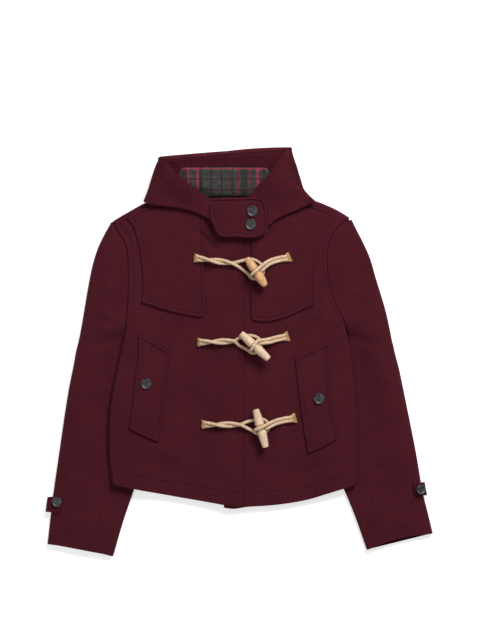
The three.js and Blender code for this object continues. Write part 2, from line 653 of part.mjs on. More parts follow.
// One line across a sleeve: its two ends in plan, and how the cloth lies between them. Above the armpit
// the inner end is the armhole seam; from the armpit down it is a fold.
function sleeveLine(side, iy) {
  const at = (column) => along(SLEEVES[side], "iy", column, iy);
  const joined = iy > armpitY(side) + 1;
  const open = iy > armpitY(side) - 1;
  const seamX = sideX(side, iy);
  const inner = new THREE.Vector2(open ? seamX + sign[side] * LAPPED : at("ix"), iy);
  const outer = new THREE.Vector2(at("ox"), at("oy"));
  const width = inner.distanceTo(outer);
  const inwards = inner.clone().sub(outer).divideScalar(width);
  const raised = joined ? lift(seamX, iy) : at("raised");
  return {
    inner, outer, width, inwards, joined, raised,
    flat: at("flat"),
    fold: at("fold"),
    loft: at("loft"),
    innerTop: joined ? coatHeight(seamX, iy) - ARMHOLE_STEP : raised + 2 * at("fold"),
  };
}

function sleeveTop(line, distance) {
  const q = Math.min(1, distance / line.width / line.flat);
  const rolledIn = line.joined ? 0 : roll(line.fold, line.width - distance);
  const body = mix(2 * SLEEVE_FOLD, line.innerTop, ease(q)) + line.loft * Math.sin(Math.PI * q);
  return body - roll(Math.min(SLEEVE_FOLD, line.width / 2), distance) - rolledIn;
}

function sleeveBottom(line, distance) {
  const rolledIn = line.joined ? 0 : roll(line.fold, line.width - distance);
  return roll(SLEEVE_FOLD, distance) + rolledIn + line.raised * ease((distance / line.width - 0.45) / 0.5);
}

const SLEEVE_ROWS = {
  right: [38, 30, 22, 8, -14, -45, -90, -140, -190, -235, -272, -312, -345, -378],
  left: [41, 33, 25, 11, -12, -45, -90, -135, -185, -228, -264, -300, -333, -366],
};
const SLEEVE_COLUMNS = { up: [0.14, 0.32, 0.5, 0.68, 0.86], down: [0.2, 0.5, 0.8] };

function sleeveHeights(side) {
  const outline = SIDES[side];
  const [low, high] = [outline[0].y, outline[outline.length - 1].y];
  const armhole = [ARMPIT, ...ARMHOLE_ROWS].map((share) => mix(low, high, share));
  return [...armhole.reverse(), ...SLEEVE_ROWS[side]].reverse();
}

// Rows go from the cuff up to the shoulder tip, columns from low X to high X.
function sleeveGrid(side, height, shares, cuffBow) {
  return sleeveHeights(side).map((iy, n) => {
    const line = sleeveLine(side, iy);
    const outerRoll = Math.min(SLEEVE_FOLD, line.width * 0.45);
    const innerRoll = Math.min(line.fold, line.width * 0.3);
    const out = rollDistances(SLEEVE_FOLD, 3).map((d) => (d * outerRoll) / SLEEVE_FOLD);
    const into = rollDistances(line.fold, 2)
      .map((d) => line.width - (d * innerRoll) / line.fold)
      .reverse();
    if (line.joined) into[into.length - 1] = line.width;
    const middle = shares.map((c) => mix(outerRoll, line.width - innerRoll, c));
    const uphill = new THREE.Vector2(-line.inwards.y, line.inwards.x).multiplyScalar(-sign[side]);
    const points = [...out, ...middle, ...into].map((d) => {
      const bow = n === 0 ? cuffBow * Math.sin((Math.PI * d) / line.width) : 0;
      const p = line.outer.clone().addScaledVector(line.inwards, d).addScaledVector(uphill, bow);
      return new THREE.Vector3(p.x, p.y, height(line, d));
    });
    return side === "right" ? points : points.reverse();
  });
}

function sleeveHold(grid, side) {
  const last = grid[0].length - 1;
  const seam = side === "right" ? last : 0;
  const folded = SLEEVE_ROWS[side].length + 1;
  return (i, j) => {
    if (j === last - seam) return "level";
    if (j !== seam) return "";
    return i < folded ? "level" : "plumb";
  };
}

function sleeve(side, facing) {
  const upper = facing === UP;
  const grid = upper
    ? sleeveGrid(side, sleeveTop, SLEEVE_COLUMNS.up, CUFF_BOW[side])
    : sleeveGrid(side, sleeveBottom, SLEEVE_COLUMNS.down, 0);
  return { grid, geometry: wall(grid, CLOTH, facing, sleeveHold(grid, side)) };
}

// Height of a grid's highest face above or below a point in plan, or minus infinity beside it.
function sampler(grid) {
  const faces = [];
  for (let i = 0; i < grid.length - 1; i++) {
    for (let j = 0; j < grid[0].length - 1; j++) {
      const [a, b, c, d] = [grid[i][j], grid[i][j + 1], grid[i + 1][j + 1], grid[i + 1][j]];
      faces.push([a, b, c], [a, c, d]);
    }
  }
  return (x, y) => {
    let height = -Infinity;
    for (const [a, b, c] of faces) {
      const area = (b.y - c.y) * (a.x - c.x) + (c.x - b.x) * (a.y - c.y);
      const u = ((b.y - c.y) * (x - c.x) + (c.x - b.x) * (y - c.y)) / area;
      const v = ((c.y - a.y) * (x - c.x) + (a.x - c.x) * (y - c.y)) / area;
      if (u > -1e-6 && v > -1e-6 && u + v < 1 + 1e-6) {
        height = Math.max(height, u * a.z + v * b.z + (1 - u - v) * c.z);
      }
    }
    return height;
  };
}

// Highest of several surfaces within reach of a point.
function highest(surfaces, x, y, reach = 0) {
  const around = reach > 0 ? [[0, 0], [reach, 0], [-reach, 0], [0, reach], [0, -reach]] : [[0, 0]];
  return Math.max(...around.flatMap(([dx, dy]) => surfaces.map((surface) => surface(x + dx, y + dy))));
}

function curveThrough(points) {
  const given = points.map(([x, y, z = 0]) => new THREE.Vector3(x, y, z));
  return new THREE.CatmullRomCurve3(given, false, "centripetal");
}

// Points in plan that fill four edges: rows by share from bottom to top, columns from west to east.
function filled(edgesOfPiece, rowShares, columnShares) {
  const names = ["bottom", "top", "west", "east"];
  const [bottom, top, west, east] = names.map((name) => curveThrough(edgesOfPiece[name]));
  const corner = (u, v) => (v ? top : bottom).getPointAt(u);
  return rowShares.map((v) =>
    columnShares.map((u) => {
      const p = bottom.getPointAt(u).multiplyScalar(1 - v).addScaledVector(top.getPointAt(u), v);
      p.addScaledVector(west.getPointAt(v), 1 - u).addScaledVector(east.getPointAt(v), u);
      p.addScaledVector(corner(0, 0), -(1 - u) * (1 - v)).addScaledVector(corner(1, 0), -u * (1 - v));
      return p.addScaledVector(corner(0, 1), -(1 - u) * v).addScaledVector(corner(1, 1), -u * v);
    }),
  );
}

// A nearly level piece laid on something: its underside at height(x, y), its top one thickness above.
function laid(plan, height, thickness, extra = () => 0) {
  const lower = plan.map((row) => row.map((p) => new THREE.Vector3(p.x, p.y, height(p.x, p.y))));
  const raised = (row, i) => row.map((p) => new THREE.Vector3(p.x, p.y, p.z + thickness + extra(i)));
  const upper = lower.map(raised);
  return { grid: upper, geometry: between(upper, lower) };
}

function hoodGrid(side) {
  const given = HOOD[side];
  const rows = given.map((row, i) => {
    const [before, after] = [given[Math.max(0, i - 1)], given[Math.min(given.length - 1, i + 1)]];
    const out = new THREE.Vector2(after.oy - before.oy, before.ox - after.ox).normalize();
    if (out.x * (row.ox - row.rx) + out.y * (row.oy - row.ry) < 0) out.negate();
    return { ...row, out, tip: 0 };
  });
  const crown = rows[rows.length - 1];
  for (const angle of [30, 60, 90]) rows.push({ ...crown, tip: radians(angle) });
  return rows.map((row) => {
    const rim = new THREE.Vector3(row.rx, row.ry, row.rz);
    const seamX = row.sx + (row.sx === HOOD_SEAM_X ? (sign[side] * SEAM) / 2 : 0);
    const bend = (angle) => {
      const a = radians(angle);
      const away = HOOD_FOLD * (1 - Math.cos(a));
      const z = row.oz - HOOD_FOLD + HOOD_FOLD * Math.sin(a);
      return new THREE.Vector3(row.ox - row.out.x * away, row.oy - row.out.y * away, z);
    };
    const start = bend(90);
    const end = bend(-90);
    const over = [0, 0.25, 0.5, 0.78].map((t) => {
      const p = rim.clone().lerp(start, t);
      p.z = mix(rim.z, start.z, ease(t));
      return p;
    });
    const round = [90, 45, 0, -45, -90].map(bend);
    const under = [0.16, 0.36, 0.58, 0.8, 1].map((t) => {
      const p = end.clone().lerp(new THREE.Vector3(seamX, row.sy, row.sz), t);
      p.y += row.bow * Math.sin(Math.PI * t);
      return p;
    });
    const line = [...over, ...round, ...under];
    line.forEach((p, k) => {
      const share = Math.min(1, Math.max(0, (k - over.length) / (round.length - 1)));
      const radius = mix(HOOD_TOP_FOLD.upper, HOOD_TOP_FOLD.under, share);
      p.y += radius * Math.sin(row.tip);
      p.z -= radius * (1 - Math.cos(row.tip)) * HOOD_CURL[k];
    });
    return side === "left" ? line : line.reverse();
  });
}

// A smooth cord of round section along a closed or open path, with flat ends.
function rope(points, diameter, sides = 6) {
  const curve = new THREE.CatmullRomCurve3(points, false, "centripetal");
  const stations = Math.round(points.length * 1.5);
  const frames = curve.computeFrenetFrames(stations, false);
  const rings = steps(0, 1, stations).map((t, n) => {
    const centre = curve.getPointAt(t);
    return steps(0, 2 * Math.PI, sides).slice(0, -1).map((a) =>
      centre.clone()
        .addScaledVector(frames.normals[n], (Math.cos(a) * diameter) / 2)
        .addScaledVector(frames.binormals[n], (Math.sin(a) * diameter) / 2),
    );
  });
  return ringSolid(rings);
}

// A closed solid through rings of points, each ring anticlockwise seen from the far end.
function ringSolid(rings) {
  const sides = rings[0].length;
  const positions = rings.flat().flatMap((p) => [p.x, p.y, p.z]);
  const index = [];
  for (let i = 0; i < rings.length - 1; i++) {
    for (let k = 0; k < sides; k++) {
      const n = (k + 1) % sides;
      const [a, b, c, d] = [i * sides + k, i * sides + n, (i + 1) * sides + n, (i + 1) * sides + k];
      index.push(a, b, c, a, c, d);
    }
  }
  for (const [ring, order] of [[0, -1], [rings.length - 1, 1]]) {
    const middle = positions.length / 3;
    const centre = rings[ring].reduce((sum, p) => sum.add(p), new THREE.Vector3()).divideScalar(sides);
    positions.push(centre.x, centre.y, centre.z);
    for (let k = 0; k < sides; k++) {
      const [a, b] = [ring * sides + k, ring * sides + ((k + 1) % sides)];
      index.push(middle, order > 0 ? a : b, order > 0 ? b : a);
    }
  }
  const geometry = new THREE.BufferGeometry();
  geometry.setAttribute("position", new THREE.Float32BufferAttribute(positions, 3));
  geometry.setIndex(index);
  return geometry;
}

// A lathe profile of [radius, height] pairs turned round Z, solid right through.
function turned(profile, segments) {
  const angles = steps(0, 2 * Math.PI, segments).slice(0, -1);
  const rings = profile.map(([r, z]) =>
    angles.map((a) => new THREE.Vector3(r * Math.cos(a), r * Math.sin(a), z)),
  );
  return ringSolid(rings);
}

const wasm = await Module();
wasm.setup();

function solid(geometry) {
  const bare = geometry.clone();
  bare.deleteAttribute("normal");
  bare.deleteAttribute("uv");
  const welded = mergeVertices(bare, 1e-4);
  const vertProperties = new Float32Array(welded.attributes.position.array);
  const triVerts = new Uint32Array(welded.index.array);
  return new wasm.Manifold(new wasm.Mesh({ numProp: 3, vertProperties, triVerts }));
}

function fromSolid(manifold) {
  const result = manifold.getMesh();
  const geometry = new THREE.BufferGeometry();
  geometry.setAttribute("position", new THREE.Float32BufferAttribute(result.vertProperties, 3));
  geometry.setIndex([...result.triVerts]);
  return geometry;
}

function button(diameter) {
  const r = diameter / 2;
  const h = BUTTON.height;
  const inner = r - BUTTON.rim;
  const edge = [[r - 1, 0], [r, 0.9], [r, h - 1.1], [r - 0.9, h]];
  const face = [[inner, h - 0.2], [inner - 1.2, h - BUTTON.dish]];
  const disc = turned([...edge, ...face], SEGMENTS);
  let made = solid(disc);
  for (const [sx, sy] of [[1, 1], [-1, 1], [-1, -1], [1, -1]]) {
    const hole = new THREE.CylinderGeometry(BUTTON.hole / 2, BUTTON.hole / 2, h * 3, 5).rotateX(Math.PI / 2);
    hole.translate((sx * BUTTON.spacing) / 2, (sy * BUTTON.spacing) / 2, 0);
    made = made.subtract(solid(hole));
  }
  return fromSolid(made);
}

// A disc placed on a surface point, tilted about the Y axis towards positive X.
function placedButton(diameter, x, y, z, tilt = 0, turn = 25) {
  const geometry = button(diameter);
  geometry.rotateZ(radians(turn));
  geometry.rotateY(radians(tilt));
  return geometry.translate(x, y, z);
}

function mesh(name, geometry, colour, roughness) {
  const flat = geometry.index ? geometry : mergeVertices(geometry);
  flat.computeVertexNormals();
  const material = new THREE.MeshStandardMaterial({ color: colour, roughness, metalness: 0 });
  const made = new THREE.Mesh(flat, material);
  made.name = name;
  return made;
}

const WINE = 0x4a1a24;
const LINING_GREY = 0x46494a;
const PATCH_BLACK = 0x141416;
const HORN_GREY = 0x2c2b2e;
const JUTE = 0xdcbf97;
const TAN_WOOD = 0xd8ab7c;
const PALE_WOOD = 0xe6c9ad;
const CLOTH_ROUGHNESS = 0.95;

const coat = new THREE.Group();
function add(name, geometry, colour = WINE, roughness = CLOTH_ROUGHNESS) {
  coat.add(mesh(name, geometry, colour, roughness));
}

const fronts = {};
const surfaces = [];
for (const side of ["right", "left"]) {
  const grid = frontGrid(side);
  fronts[side] = sampler(grid);
  surfaces.push(fronts[side]);
  add(`front_${side}`, wall(grid, CLOTH, UP, bodyHold(grid, side)));
}
add("back", back());

const sleeveTops = {};
for (const side of ["right", "left"]) {
  const upper = sleeve(side, UP);
  sleeveTops[side] = sampler(upper.grid);
  add(`sleeve_top_${side}`, upper.geometry);
  add(`sleeve_under_${side}`, sleeve(side, DOWN).geometry);
}

// Yokes and pocket flaps lie on the fronts
const YOKE_ROWS = [0, 0.03, 0.1, 0.22, 0.36, 0.5, 0.64, 0.78, 0.9, 1];
const YOKE_COLUMNS = [0, 0.06, 0.22, 0.4, 0.6, 0.8, 1];
const FLAP_ROWS = [0, 0.03, 0.07, 0.2, 0.33, 0.46, 0.6, 0.73, 0.85, 0.93, 0.97, 1];
const FLAP_COLUMNS = [0, 0.2, 0.4, 0.6, 0.8, 1];
for (const side of ["right", "left"]) {
  const on = (x, y) => highest([fronts[side]], x, y, 4) + LAPPED;
  const columns = side === "left" ? YOKE_COLUMNS : YOKE_COLUMNS.map((u) => 1 - u).reverse();
  const yoke = laid(filled(YOKES[side], YOKE_ROWS, columns), on, CLOTH);
  add(`yoke_${side}`, yoke.geometry);
  surfaces.push(sampler(yoke.grid));

  const flapPlan = filled(FLAPS[side], FLAP_ROWS, FLAP_COLUMNS);
  const ridge = (i) => (i === 1 || i === FLAP_ROWS.length - 2 ? FLAP_RIDGE : 0);
  const flap = laid(flapPlan, on, CLOTH, ridge);
  add(`pocket_flap_${side}`, flap.geometry);
  surfaces.push(sampler(flap.grid));

  const [bx, by] = FLAPS[side].button;
  const top = highest(surfaces, bx, by, BUTTON.diameter / 2) + SEAM;
  add(`pocket_button_${side}`, placedButton(BUTTON.diameter, bx, by, top), HORN_GREY, 0.4);
}

// Hood halves, its folded crown, and what shows inside the neck
const hoodTops = [];
const hoodUnder = [];
const hoodInside = [];
for (const side of ["right", "left"]) {
  const grid = hoodGrid(side);
  const seam = side === "right" ? 0 : grid[0].length - 1;
  const atCentre = (i) => HOOD[side][Math.min(i, HOOD[side].length - 1)].sx === HOOD_SEAM_X;
  const hold = (i, j) => (j === seam && atCentre(i) ? "in plane" : "");
  const inner = moved(grid, -HOOD_CLOTH, UP, hold);
  add(`hood_${side}`, between(grid, inner));
  const hidden = (rows) => rows.map((row) => (side === "right" ? row.slice(0, 6) : row.slice(-6)));
  if (side === "left") hoodTops.push(sampler(grid));
  hoodUnder.push(sampler(hidden(grid)));
  hoodInside.push(sampler(hidden(inner)));
}

function crown() {
  const outline = new THREE.CatmullRomCurve3(
    CROWN_OUTLINE.map(({ x, y }) => new THREE.Vector3(x, y, 0)), true, "centripetal",
  );
  const around = steps(0, 1, 26).slice(0, -1).map((t) => outline.getPointAt(t));
  const middle = around.reduce((sum, p) => sum.add(p), new THREE.Vector3()).divideScalar(around.length);
  const roof = (x, y) => {
    const reach = 4;
    const spots = [[0, 0], [reach, 0], [-reach, 0], [0, reach], [0, -reach]];
    const heights = spots.map(([dx, dy]) => highest(hoodUnder, x + dx, y + dy)).filter((z) => z > 0);
    return Math.min(...heights) - CROWN_GAP;
  };
  const ring = (share, inset) =>
    around.map((p) => {
      const q = p.clone().lerp(middle, Math.min(1, inset / p.distanceTo(middle)));
      return new THREE.Vector3(q.x, q.y, share * roof(q.x, q.y));
    });
  const rings = [];
  for (let layer = 0; layer < CROWN_LAYERS; layer++) {
    for (const angle of [-90, -35, 0, 35]) {
      const share = (layer + 0.5 + 0.5 * Math.sin(radians(angle))) / CROWN_LAYERS;
      rings.push(ring(share, CROWN_GROOVE * (1 - Math.cos(radians(angle)))));
    }
  }
  for (const inset of [CROWN_GROOVE, 14, 22]) rings.push(ring(1, inset));
  return ringSolid(rings);
}
add("hood_crown", crown());

const LINING_ROWS = [0, 0.12, 0.3, 0.5, 0.7, 0.88, 0.96, 1];
const LINING_COLUMNS = [0, 0.04, 0.15, 0.32, 0.5, 0.68, 0.85, 0.96, 1];
const NECK_EDGE = 306;
const liningPlan = filled(LINING_PATCH, LINING_ROWS, LINING_COLUMNS);
const liningHeight = (x, y) => {
  const inside = highest(hoodInside, x, Math.max(y, NECK_EDGE), 3) + LAPPED;
  return mix(CLOTH + LAPPED, inside, Math.min(1, Math.max(0, (y - 288) / (NECK_EDGE - 288))));
};
add("neck_lining", laid(liningPlan, liningHeight, LINING).geometry, LINING_GREY);
const patchPlan = filled(NECK_PATCH, [0, 0.5, 1], [0, 0.5, 1]);
add("neck_patch", laid(patchPlan, () => CLOTH + SEAM, LINING).geometry, PATCH_BLACK);

// Throat tab and its buttons
const tabHeight = (x) => mix(TAB_HEIGHT.atHood, TAB_HEIGHT.overLeft, ease((x + 44) / 40));
const tabPlan = filled(TAB, [0, 0.06, 0.2, 0.45, 0.7, 0.92, 1], [0, 0.12, 0.3, 0.48, 0.66, 0.82, 0.94, 1]);
const overHood = (x, y) => Math.max(tabHeight(x), highest(hoodTops, x, y, 5) + LAPPED);
const tab = laid(tabPlan, overHood, HOOD_CLOTH);
add("throat_tab", tab.geometry);
for (const [name, [x, y]] of Object.entries(TAB_BUTTONS)) {
  const top = highest([sampler(tab.grid)], x, y, BUTTON.diameter / 2) + SEAM;
  add(`tab_button_${name}`, placedButton(BUTTON.diameter, x, y, top), HORN_GREY, 0.4);
}

// Cuff straps and buttons
for (const side of ["right", "left"]) {
  const cuff = CUFFS[side];
  const at = (d, s) => {
    const line = sleeveLine(side, cuff.iy + s * 1.2);
    return line.outer.clone().addScaledVector(line.inwards, d);
  };
  const profile = curveThrough(cuff.path.map(([d, z]) => [d, 0, z])).getSpacedPoints(11);
  const grid = profile.map((p) =>
    [-0.5, 0, 0.5].map((s) => {
      const q = at(p.x, s * cuff.width);
      return new THREE.Vector3(q.x, q.y, p.z);
    }),
  );
  const facing = side === "right" ? UP : DOWN;
  const lower = moved(grid, -CLOTH / 2, facing);
  const upper = moved(grid, CLOTH / 2, facing);
  add(`cuff_tab_${side}`, side === "right" ? between(upper, lower) : between(lower, upper));
  const spot = at(cuff.button, cuff.above);
  const fromButton = (p) => Math.abs(p.x - cuff.button);
  const [nearest] = profile.filter((p) => p.z > 9).sort((a, b) => fromButton(a) - fromButton(b));
  const z = nearest.z + CLOTH / 2 + SEAM + 0.6 + Math.sin(radians(cuff.tilt)) * 3;
  const geometry = placedButton(CUFF_BUTTON_DIAMETER, spot.x, spot.y, z, sign[side] * cuff.tilt);
  add(`cuff_button_${side}`, geometry, HORN_GREY, 0.4);
}

// Toggles, their cords and the loops they pass through
function toggleWood(length) {
  const half = length / 2;
  const [r, tip, g, w] = [TOGGLE.diameter / 2, TOGGLE.tip / 2, TOGGLE.groove / 2, TOGGLE.grooveWidth / 2];
  return turned(
    [
      [tip - 2, -half], [tip, -half + 2], [mix(tip, r, 0.72), -half * 0.55], [r, -w - 2.5], [g, -w + 1.2],
      [g, w - 1.2], [r, w + 2.5], [mix(tip, r, 0.72), half * 0.55], [tip, half - 2], [tip - 2, half],
    ],
    12,
  );
}

function endBlock(x, y, z, angle, width) {
  const block = new THREE.BoxGeometry(END.length, width, END.thickness);
  block.rotateZ(angle);
  return block.translate(x, y, z);
}

TOGGLES.forEach((toggle, n) => {
  const name = n + 1;
  const [upper, lower] = [new THREE.Vector2(...toggle.upper), new THREE.Vector2(...toggle.lower)];
  const middle = upper.clone().add(lower).divideScalar(2);
  const axis = upper.clone().sub(lower).normalize();
  const across = new THREE.Vector2(-axis.y, axis.x).multiplyScalar(axis.y > 0 ? -1 : 1);
  const base = highest(surfaces, middle.x, middle.y, 22);
  const axisZ = base + TOGGLE.height;
  const ground = (x, y) => Math.max(...[7, 12].map((r) => highest(surfaces, x, y, r))) + ROPE / 2 + 0.5;

  const wood = toggleWood(upper.distanceTo(lower));
  wood.rotateY(Math.PI / 2);
  wood.rotateZ(Math.atan2(axis.y, axis.x));
  wood.translate(middle.x, middle.y, axisZ);
  add(`toggle_${name}`, wood, n === 0 ? TAN_WOOD : PALE_WOOD, 0.55);

  // The toggle's own cord: two strands from its sewn end to the groove, joined by a turn around it
  const spot = (out, up, z) => {
    const p = middle.clone().addScaledVector(across, out).addScaledVector(axis, up);
    return new THREE.Vector3(p.x, p.y, z);
  };
  const ring = TOGGLE.groove / 2 + ROPE / 2 + 0.8;
  const cordEnd = new THREE.Vector2(...toggle.cord);
  const way = cordEnd.clone().sub(middle).normalize();
  const beside = new THREE.Vector2(-way.y, way.x);
  const strand = (offset) =>
    [1, 0.72, 0.46].map((share) => {
      const p = middle.clone().lerp(cordEnd, share);
      p.addScaledVector(beside, offset + toggle.bow * Math.sin(Math.PI * share));
      const z = mix(axisZ, base + 3, share * 1.6 - 0.1);
      return new THREE.Vector3(p.x, p.y, Math.max(ground(p.x, p.y), z));
    });
  const wrap = [20, 55, 90, 125, 160, 200, 235, 270, 305, 340].map((angle, k) => {
    const a = radians(angle);
    return spot(ring * Math.cos(a), mix(TWIST / 2, -TWIST / 2, k / 9), axisZ + ring * Math.sin(a));
  });
  const cordPath = [...strand(TWIST / 2), ...wrap, ...strand(-TWIST / 2).reverse()];
  const cordHeight = ground(cordEnd.x, cordEnd.y);
  const cordBlock = endBlock(cordEnd.x, cordEnd.y, cordHeight, Math.atan2(way.y, way.x), END.cordWidth);
  add(`toggle_cord_${name}`, fromSolid(solid(rope(cordPath, ROPE)).add(solid(cordBlock))), JUTE, 0.9);

  // The loop: two strands twisted round each other, then its open eye around the toggle's middle
  const start = new THREE.Vector2(...toggle.loop);
  const part = new THREE.Vector2(...toggle.part);
  const forward = part.clone().sub(start).normalize();
  const aside = new THREE.Vector2(-forward.y, forward.x);
  const twisted = (phase) =>
    steps(0, 1, 8).map((share) => {
      const a = radians(phase + 180 * toggle.turns * share);
      const lying = 1 - ease((share - 0.02) / 0.12);
      const sideways = mix(Math.cos(a), Math.sign(Math.cos(a)) || 1, lying) * (TWIST / 2);
      const rise = mix(TWIST / 2 + (Math.sin(a) * TWIST) / 2, 0, lying);
      const p = start.clone().lerp(part, share).addScaledVector(aside, sideways);
      return new THREE.Vector3(p.x, p.y, ground(p.x, p.y) + rise);
    });
  const eye = toggle.eye.map(([out, up]) => {
    const p = spot(out, up, 0);
    p.z = ground(p.x, p.y);
    return p;
  });
  const loopPath = [...twisted(0), ...eye, ...twisted(180).reverse()];
  const loopHeight = ground(start.x, start.y);
  const loopBlock = endBlock(start.x, start.y, loopHeight, Math.atan2(forward.y, forward.x), END.loopWidth);
  add(`toggle_loop_${name}`, fromSolid(solid(rope(loopPath, ROPE)).add(solid(loopBlock))), JUTE, 0.9);
});

// The frame's origin is the middle of the underside of the whole coat
const box = new THREE.Box3().setFromObject(coat);
const shift = new THREE.Vector3(-(box.min.x + box.max.x) / 2, -(box.min.y + box.max.y) / 2, -box.min.z);
for (const piece of coat.children) piece.geometry.translate(shift.x, shift.y, shift.z);

export default coat;
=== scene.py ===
"""The looks of a short hooded duffle coat, buttoned up and laid out flat on its back.

Sizes are in millimetres and become metres where a mesh is made. Plan positions are pattern coordinates,
X to the right of someone looking down at the coat and Y towards the hood, which shifted() moves into the
frame. "Right" and "left" are the wearer's.
"""
import math
import random
from collections import namedtuple

import bmesh
import bpy
import numpy as np
from mathutils import Matrix, Vector
from mathutils.bvhtree import BVHTree
from mathutils.kdtree import KDTree


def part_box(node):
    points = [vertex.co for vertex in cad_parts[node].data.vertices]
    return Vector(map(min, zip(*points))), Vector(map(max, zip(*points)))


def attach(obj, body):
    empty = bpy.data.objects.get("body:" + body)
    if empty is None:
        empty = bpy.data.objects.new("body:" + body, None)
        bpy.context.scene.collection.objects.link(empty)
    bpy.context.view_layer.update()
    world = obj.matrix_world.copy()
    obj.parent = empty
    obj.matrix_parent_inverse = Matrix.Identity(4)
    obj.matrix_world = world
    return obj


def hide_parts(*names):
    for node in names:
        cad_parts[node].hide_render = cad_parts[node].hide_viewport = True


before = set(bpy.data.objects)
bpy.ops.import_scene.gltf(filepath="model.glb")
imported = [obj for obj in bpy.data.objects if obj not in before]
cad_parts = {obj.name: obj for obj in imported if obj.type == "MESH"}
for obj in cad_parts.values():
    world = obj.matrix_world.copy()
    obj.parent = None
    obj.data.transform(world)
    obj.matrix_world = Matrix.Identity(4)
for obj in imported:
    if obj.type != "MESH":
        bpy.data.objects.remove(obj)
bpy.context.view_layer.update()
MM = 0.001
random.seed(11)

# The photograph's frame
PHOTO = {"width": 480, "height": 640, "mm_per_pixel": 1.85}
VIEW_CENTRE = (9.99, 60.1)
VIEW_DISTANCE = 4000
SUBJECT_HEIGHT = 15

# Where the pattern's origin lies in the frame, from a piece whose place in the pattern is known
TOGGLE_1_MIDDLE = (39.75, 148.5)
_low, _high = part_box("toggle_1")
SHIFT = (
    (_low.x + _high.x) / 2 / MM - TOGGLE_1_MIDDLE[0],
    (_low.y + _high.y) / 2 / MM - TOGGLE_1_MIDDLE[1],
)


def shifted(x, y, z=0.0):
    """A pattern point, in metres in the frame."""
    return Vector(((x + SHIFT[0]) * MM, (y + SHIFT[1]) * MM, z * MM))


# Camera


def make_camera():
    data = bpy.data.cameras.new("overhead")
    camera = bpy.data.objects.new("overhead", data)
    bpy.context.scene.collection.objects.link(camera)
    camera.location = shifted(*VIEW_CENTRE, VIEW_DISTANCE + SUBJECT_HEIGHT)
    data.sensor_fit = "VERTICAL"
    data.sensor_height = 36
    data.lens = data.sensor_height * VIEW_DISTANCE / (PHOTO["height"] * PHOTO["mm_per_pixel"])
    data.clip_end = 50
    bpy.context.scene.camera = camera


make_camera()

# Small helpers


def soft(t):
    """Eases from 0 to 1."""
    c = np.clip(t, 0.0, 1.0)
    return c * c * (3 - 2 * c)


def mix(a, b, t):
    return a + (b - a) * t


def smooth_path(points, count):
    """Points evenly spread along a centripetal curve through a few points (tuples or vectors)."""
    given = [Vector(p) for p in points]
    if len(given) == 2:
        return [given[0].lerp(given[1], i / (count - 1)) for i in range(count)]
    full = [given[0] * 2 - given[1], *given, given[-1] * 2 - given[-2]]
    dense = []
    for k in range(1, len(full) - 2):
        p0, p1, p2, p3 = full[k - 1 : k + 3]
        d0, d1, d2 = (max((b - a).length, 1e-9) ** 0.5 for a, b in ((p0, p1), (p1, p2), (p2, p3)))
        t1 = ((p1 - p0) / d0 - (p2 - p0) / (d0 + d1) + (p2 - p1) / d1) * d1
        t2 = ((p2 - p1) / d1 - (p3 - p1) / (d1 + d2) + (p3 - p2) / d2) * d1
        for i in range(24):
            t = i / 24
            dense.append(p1 + t1 * t + (p2 * 3 - p1 * 3 - t1 * 2 - t2) * t * t + (p1 * 2 - p2 * 2 + t1 + t2) * t**3)
    dense.append(full[-2])
    lengths = np.concatenate([[0], np.cumsum([(b - a).length for a, b in zip(dense, dense[1:])])])
    targets = np.linspace(0, lengths[-1], count)
    columns = [np.interp(targets, lengths, [p[c] for p in dense]) for c in range(len(dense[0]))]
    return [Vector(p) for p in zip(*columns)]


def line_distance(x, y, path):
    """Signed distance of each (x, y) from a path in plan, and the share along it of the nearest point."""
    best = np.full(x.shape, 1e9)
    signed = np.full(x.shape, 1e9)
    share = np.zeros(x.shape)
    lengths = [(b - a).length for a, b in zip(path, path[1:])]
    total = sum(lengths)
    before = 0.0
    for (a, b), length in zip(zip(path, path[1:]), lengths):
        dx, dy = (b.x - a.x) / length, (b.y - a.y) / length
        along = np.clip((x - a.x) * dx + (y - a.y) * dy, 0, length)
        ox, oy = x - a.x - along * dx, y - a.y - along * dy
        away = np.hypot(ox, oy)
        nearer = away < best
        best = np.where(nearer, away, best)
        side = np.where(dx * oy - dy * ox < 0, -1.0, 1.0)
        signed = np.where(nearer, away * side, signed)
        share = np.where(nearer, (before + along) / total, share)
        before += length
    return signed, share


# Creases pressed into the laid-out coat: points in plan, half width, depth (ridges are positive) and how
# much steeper one side is than the other.
Crease = namedtuple("Crease", "points width depth lean", defaults=[0.0])

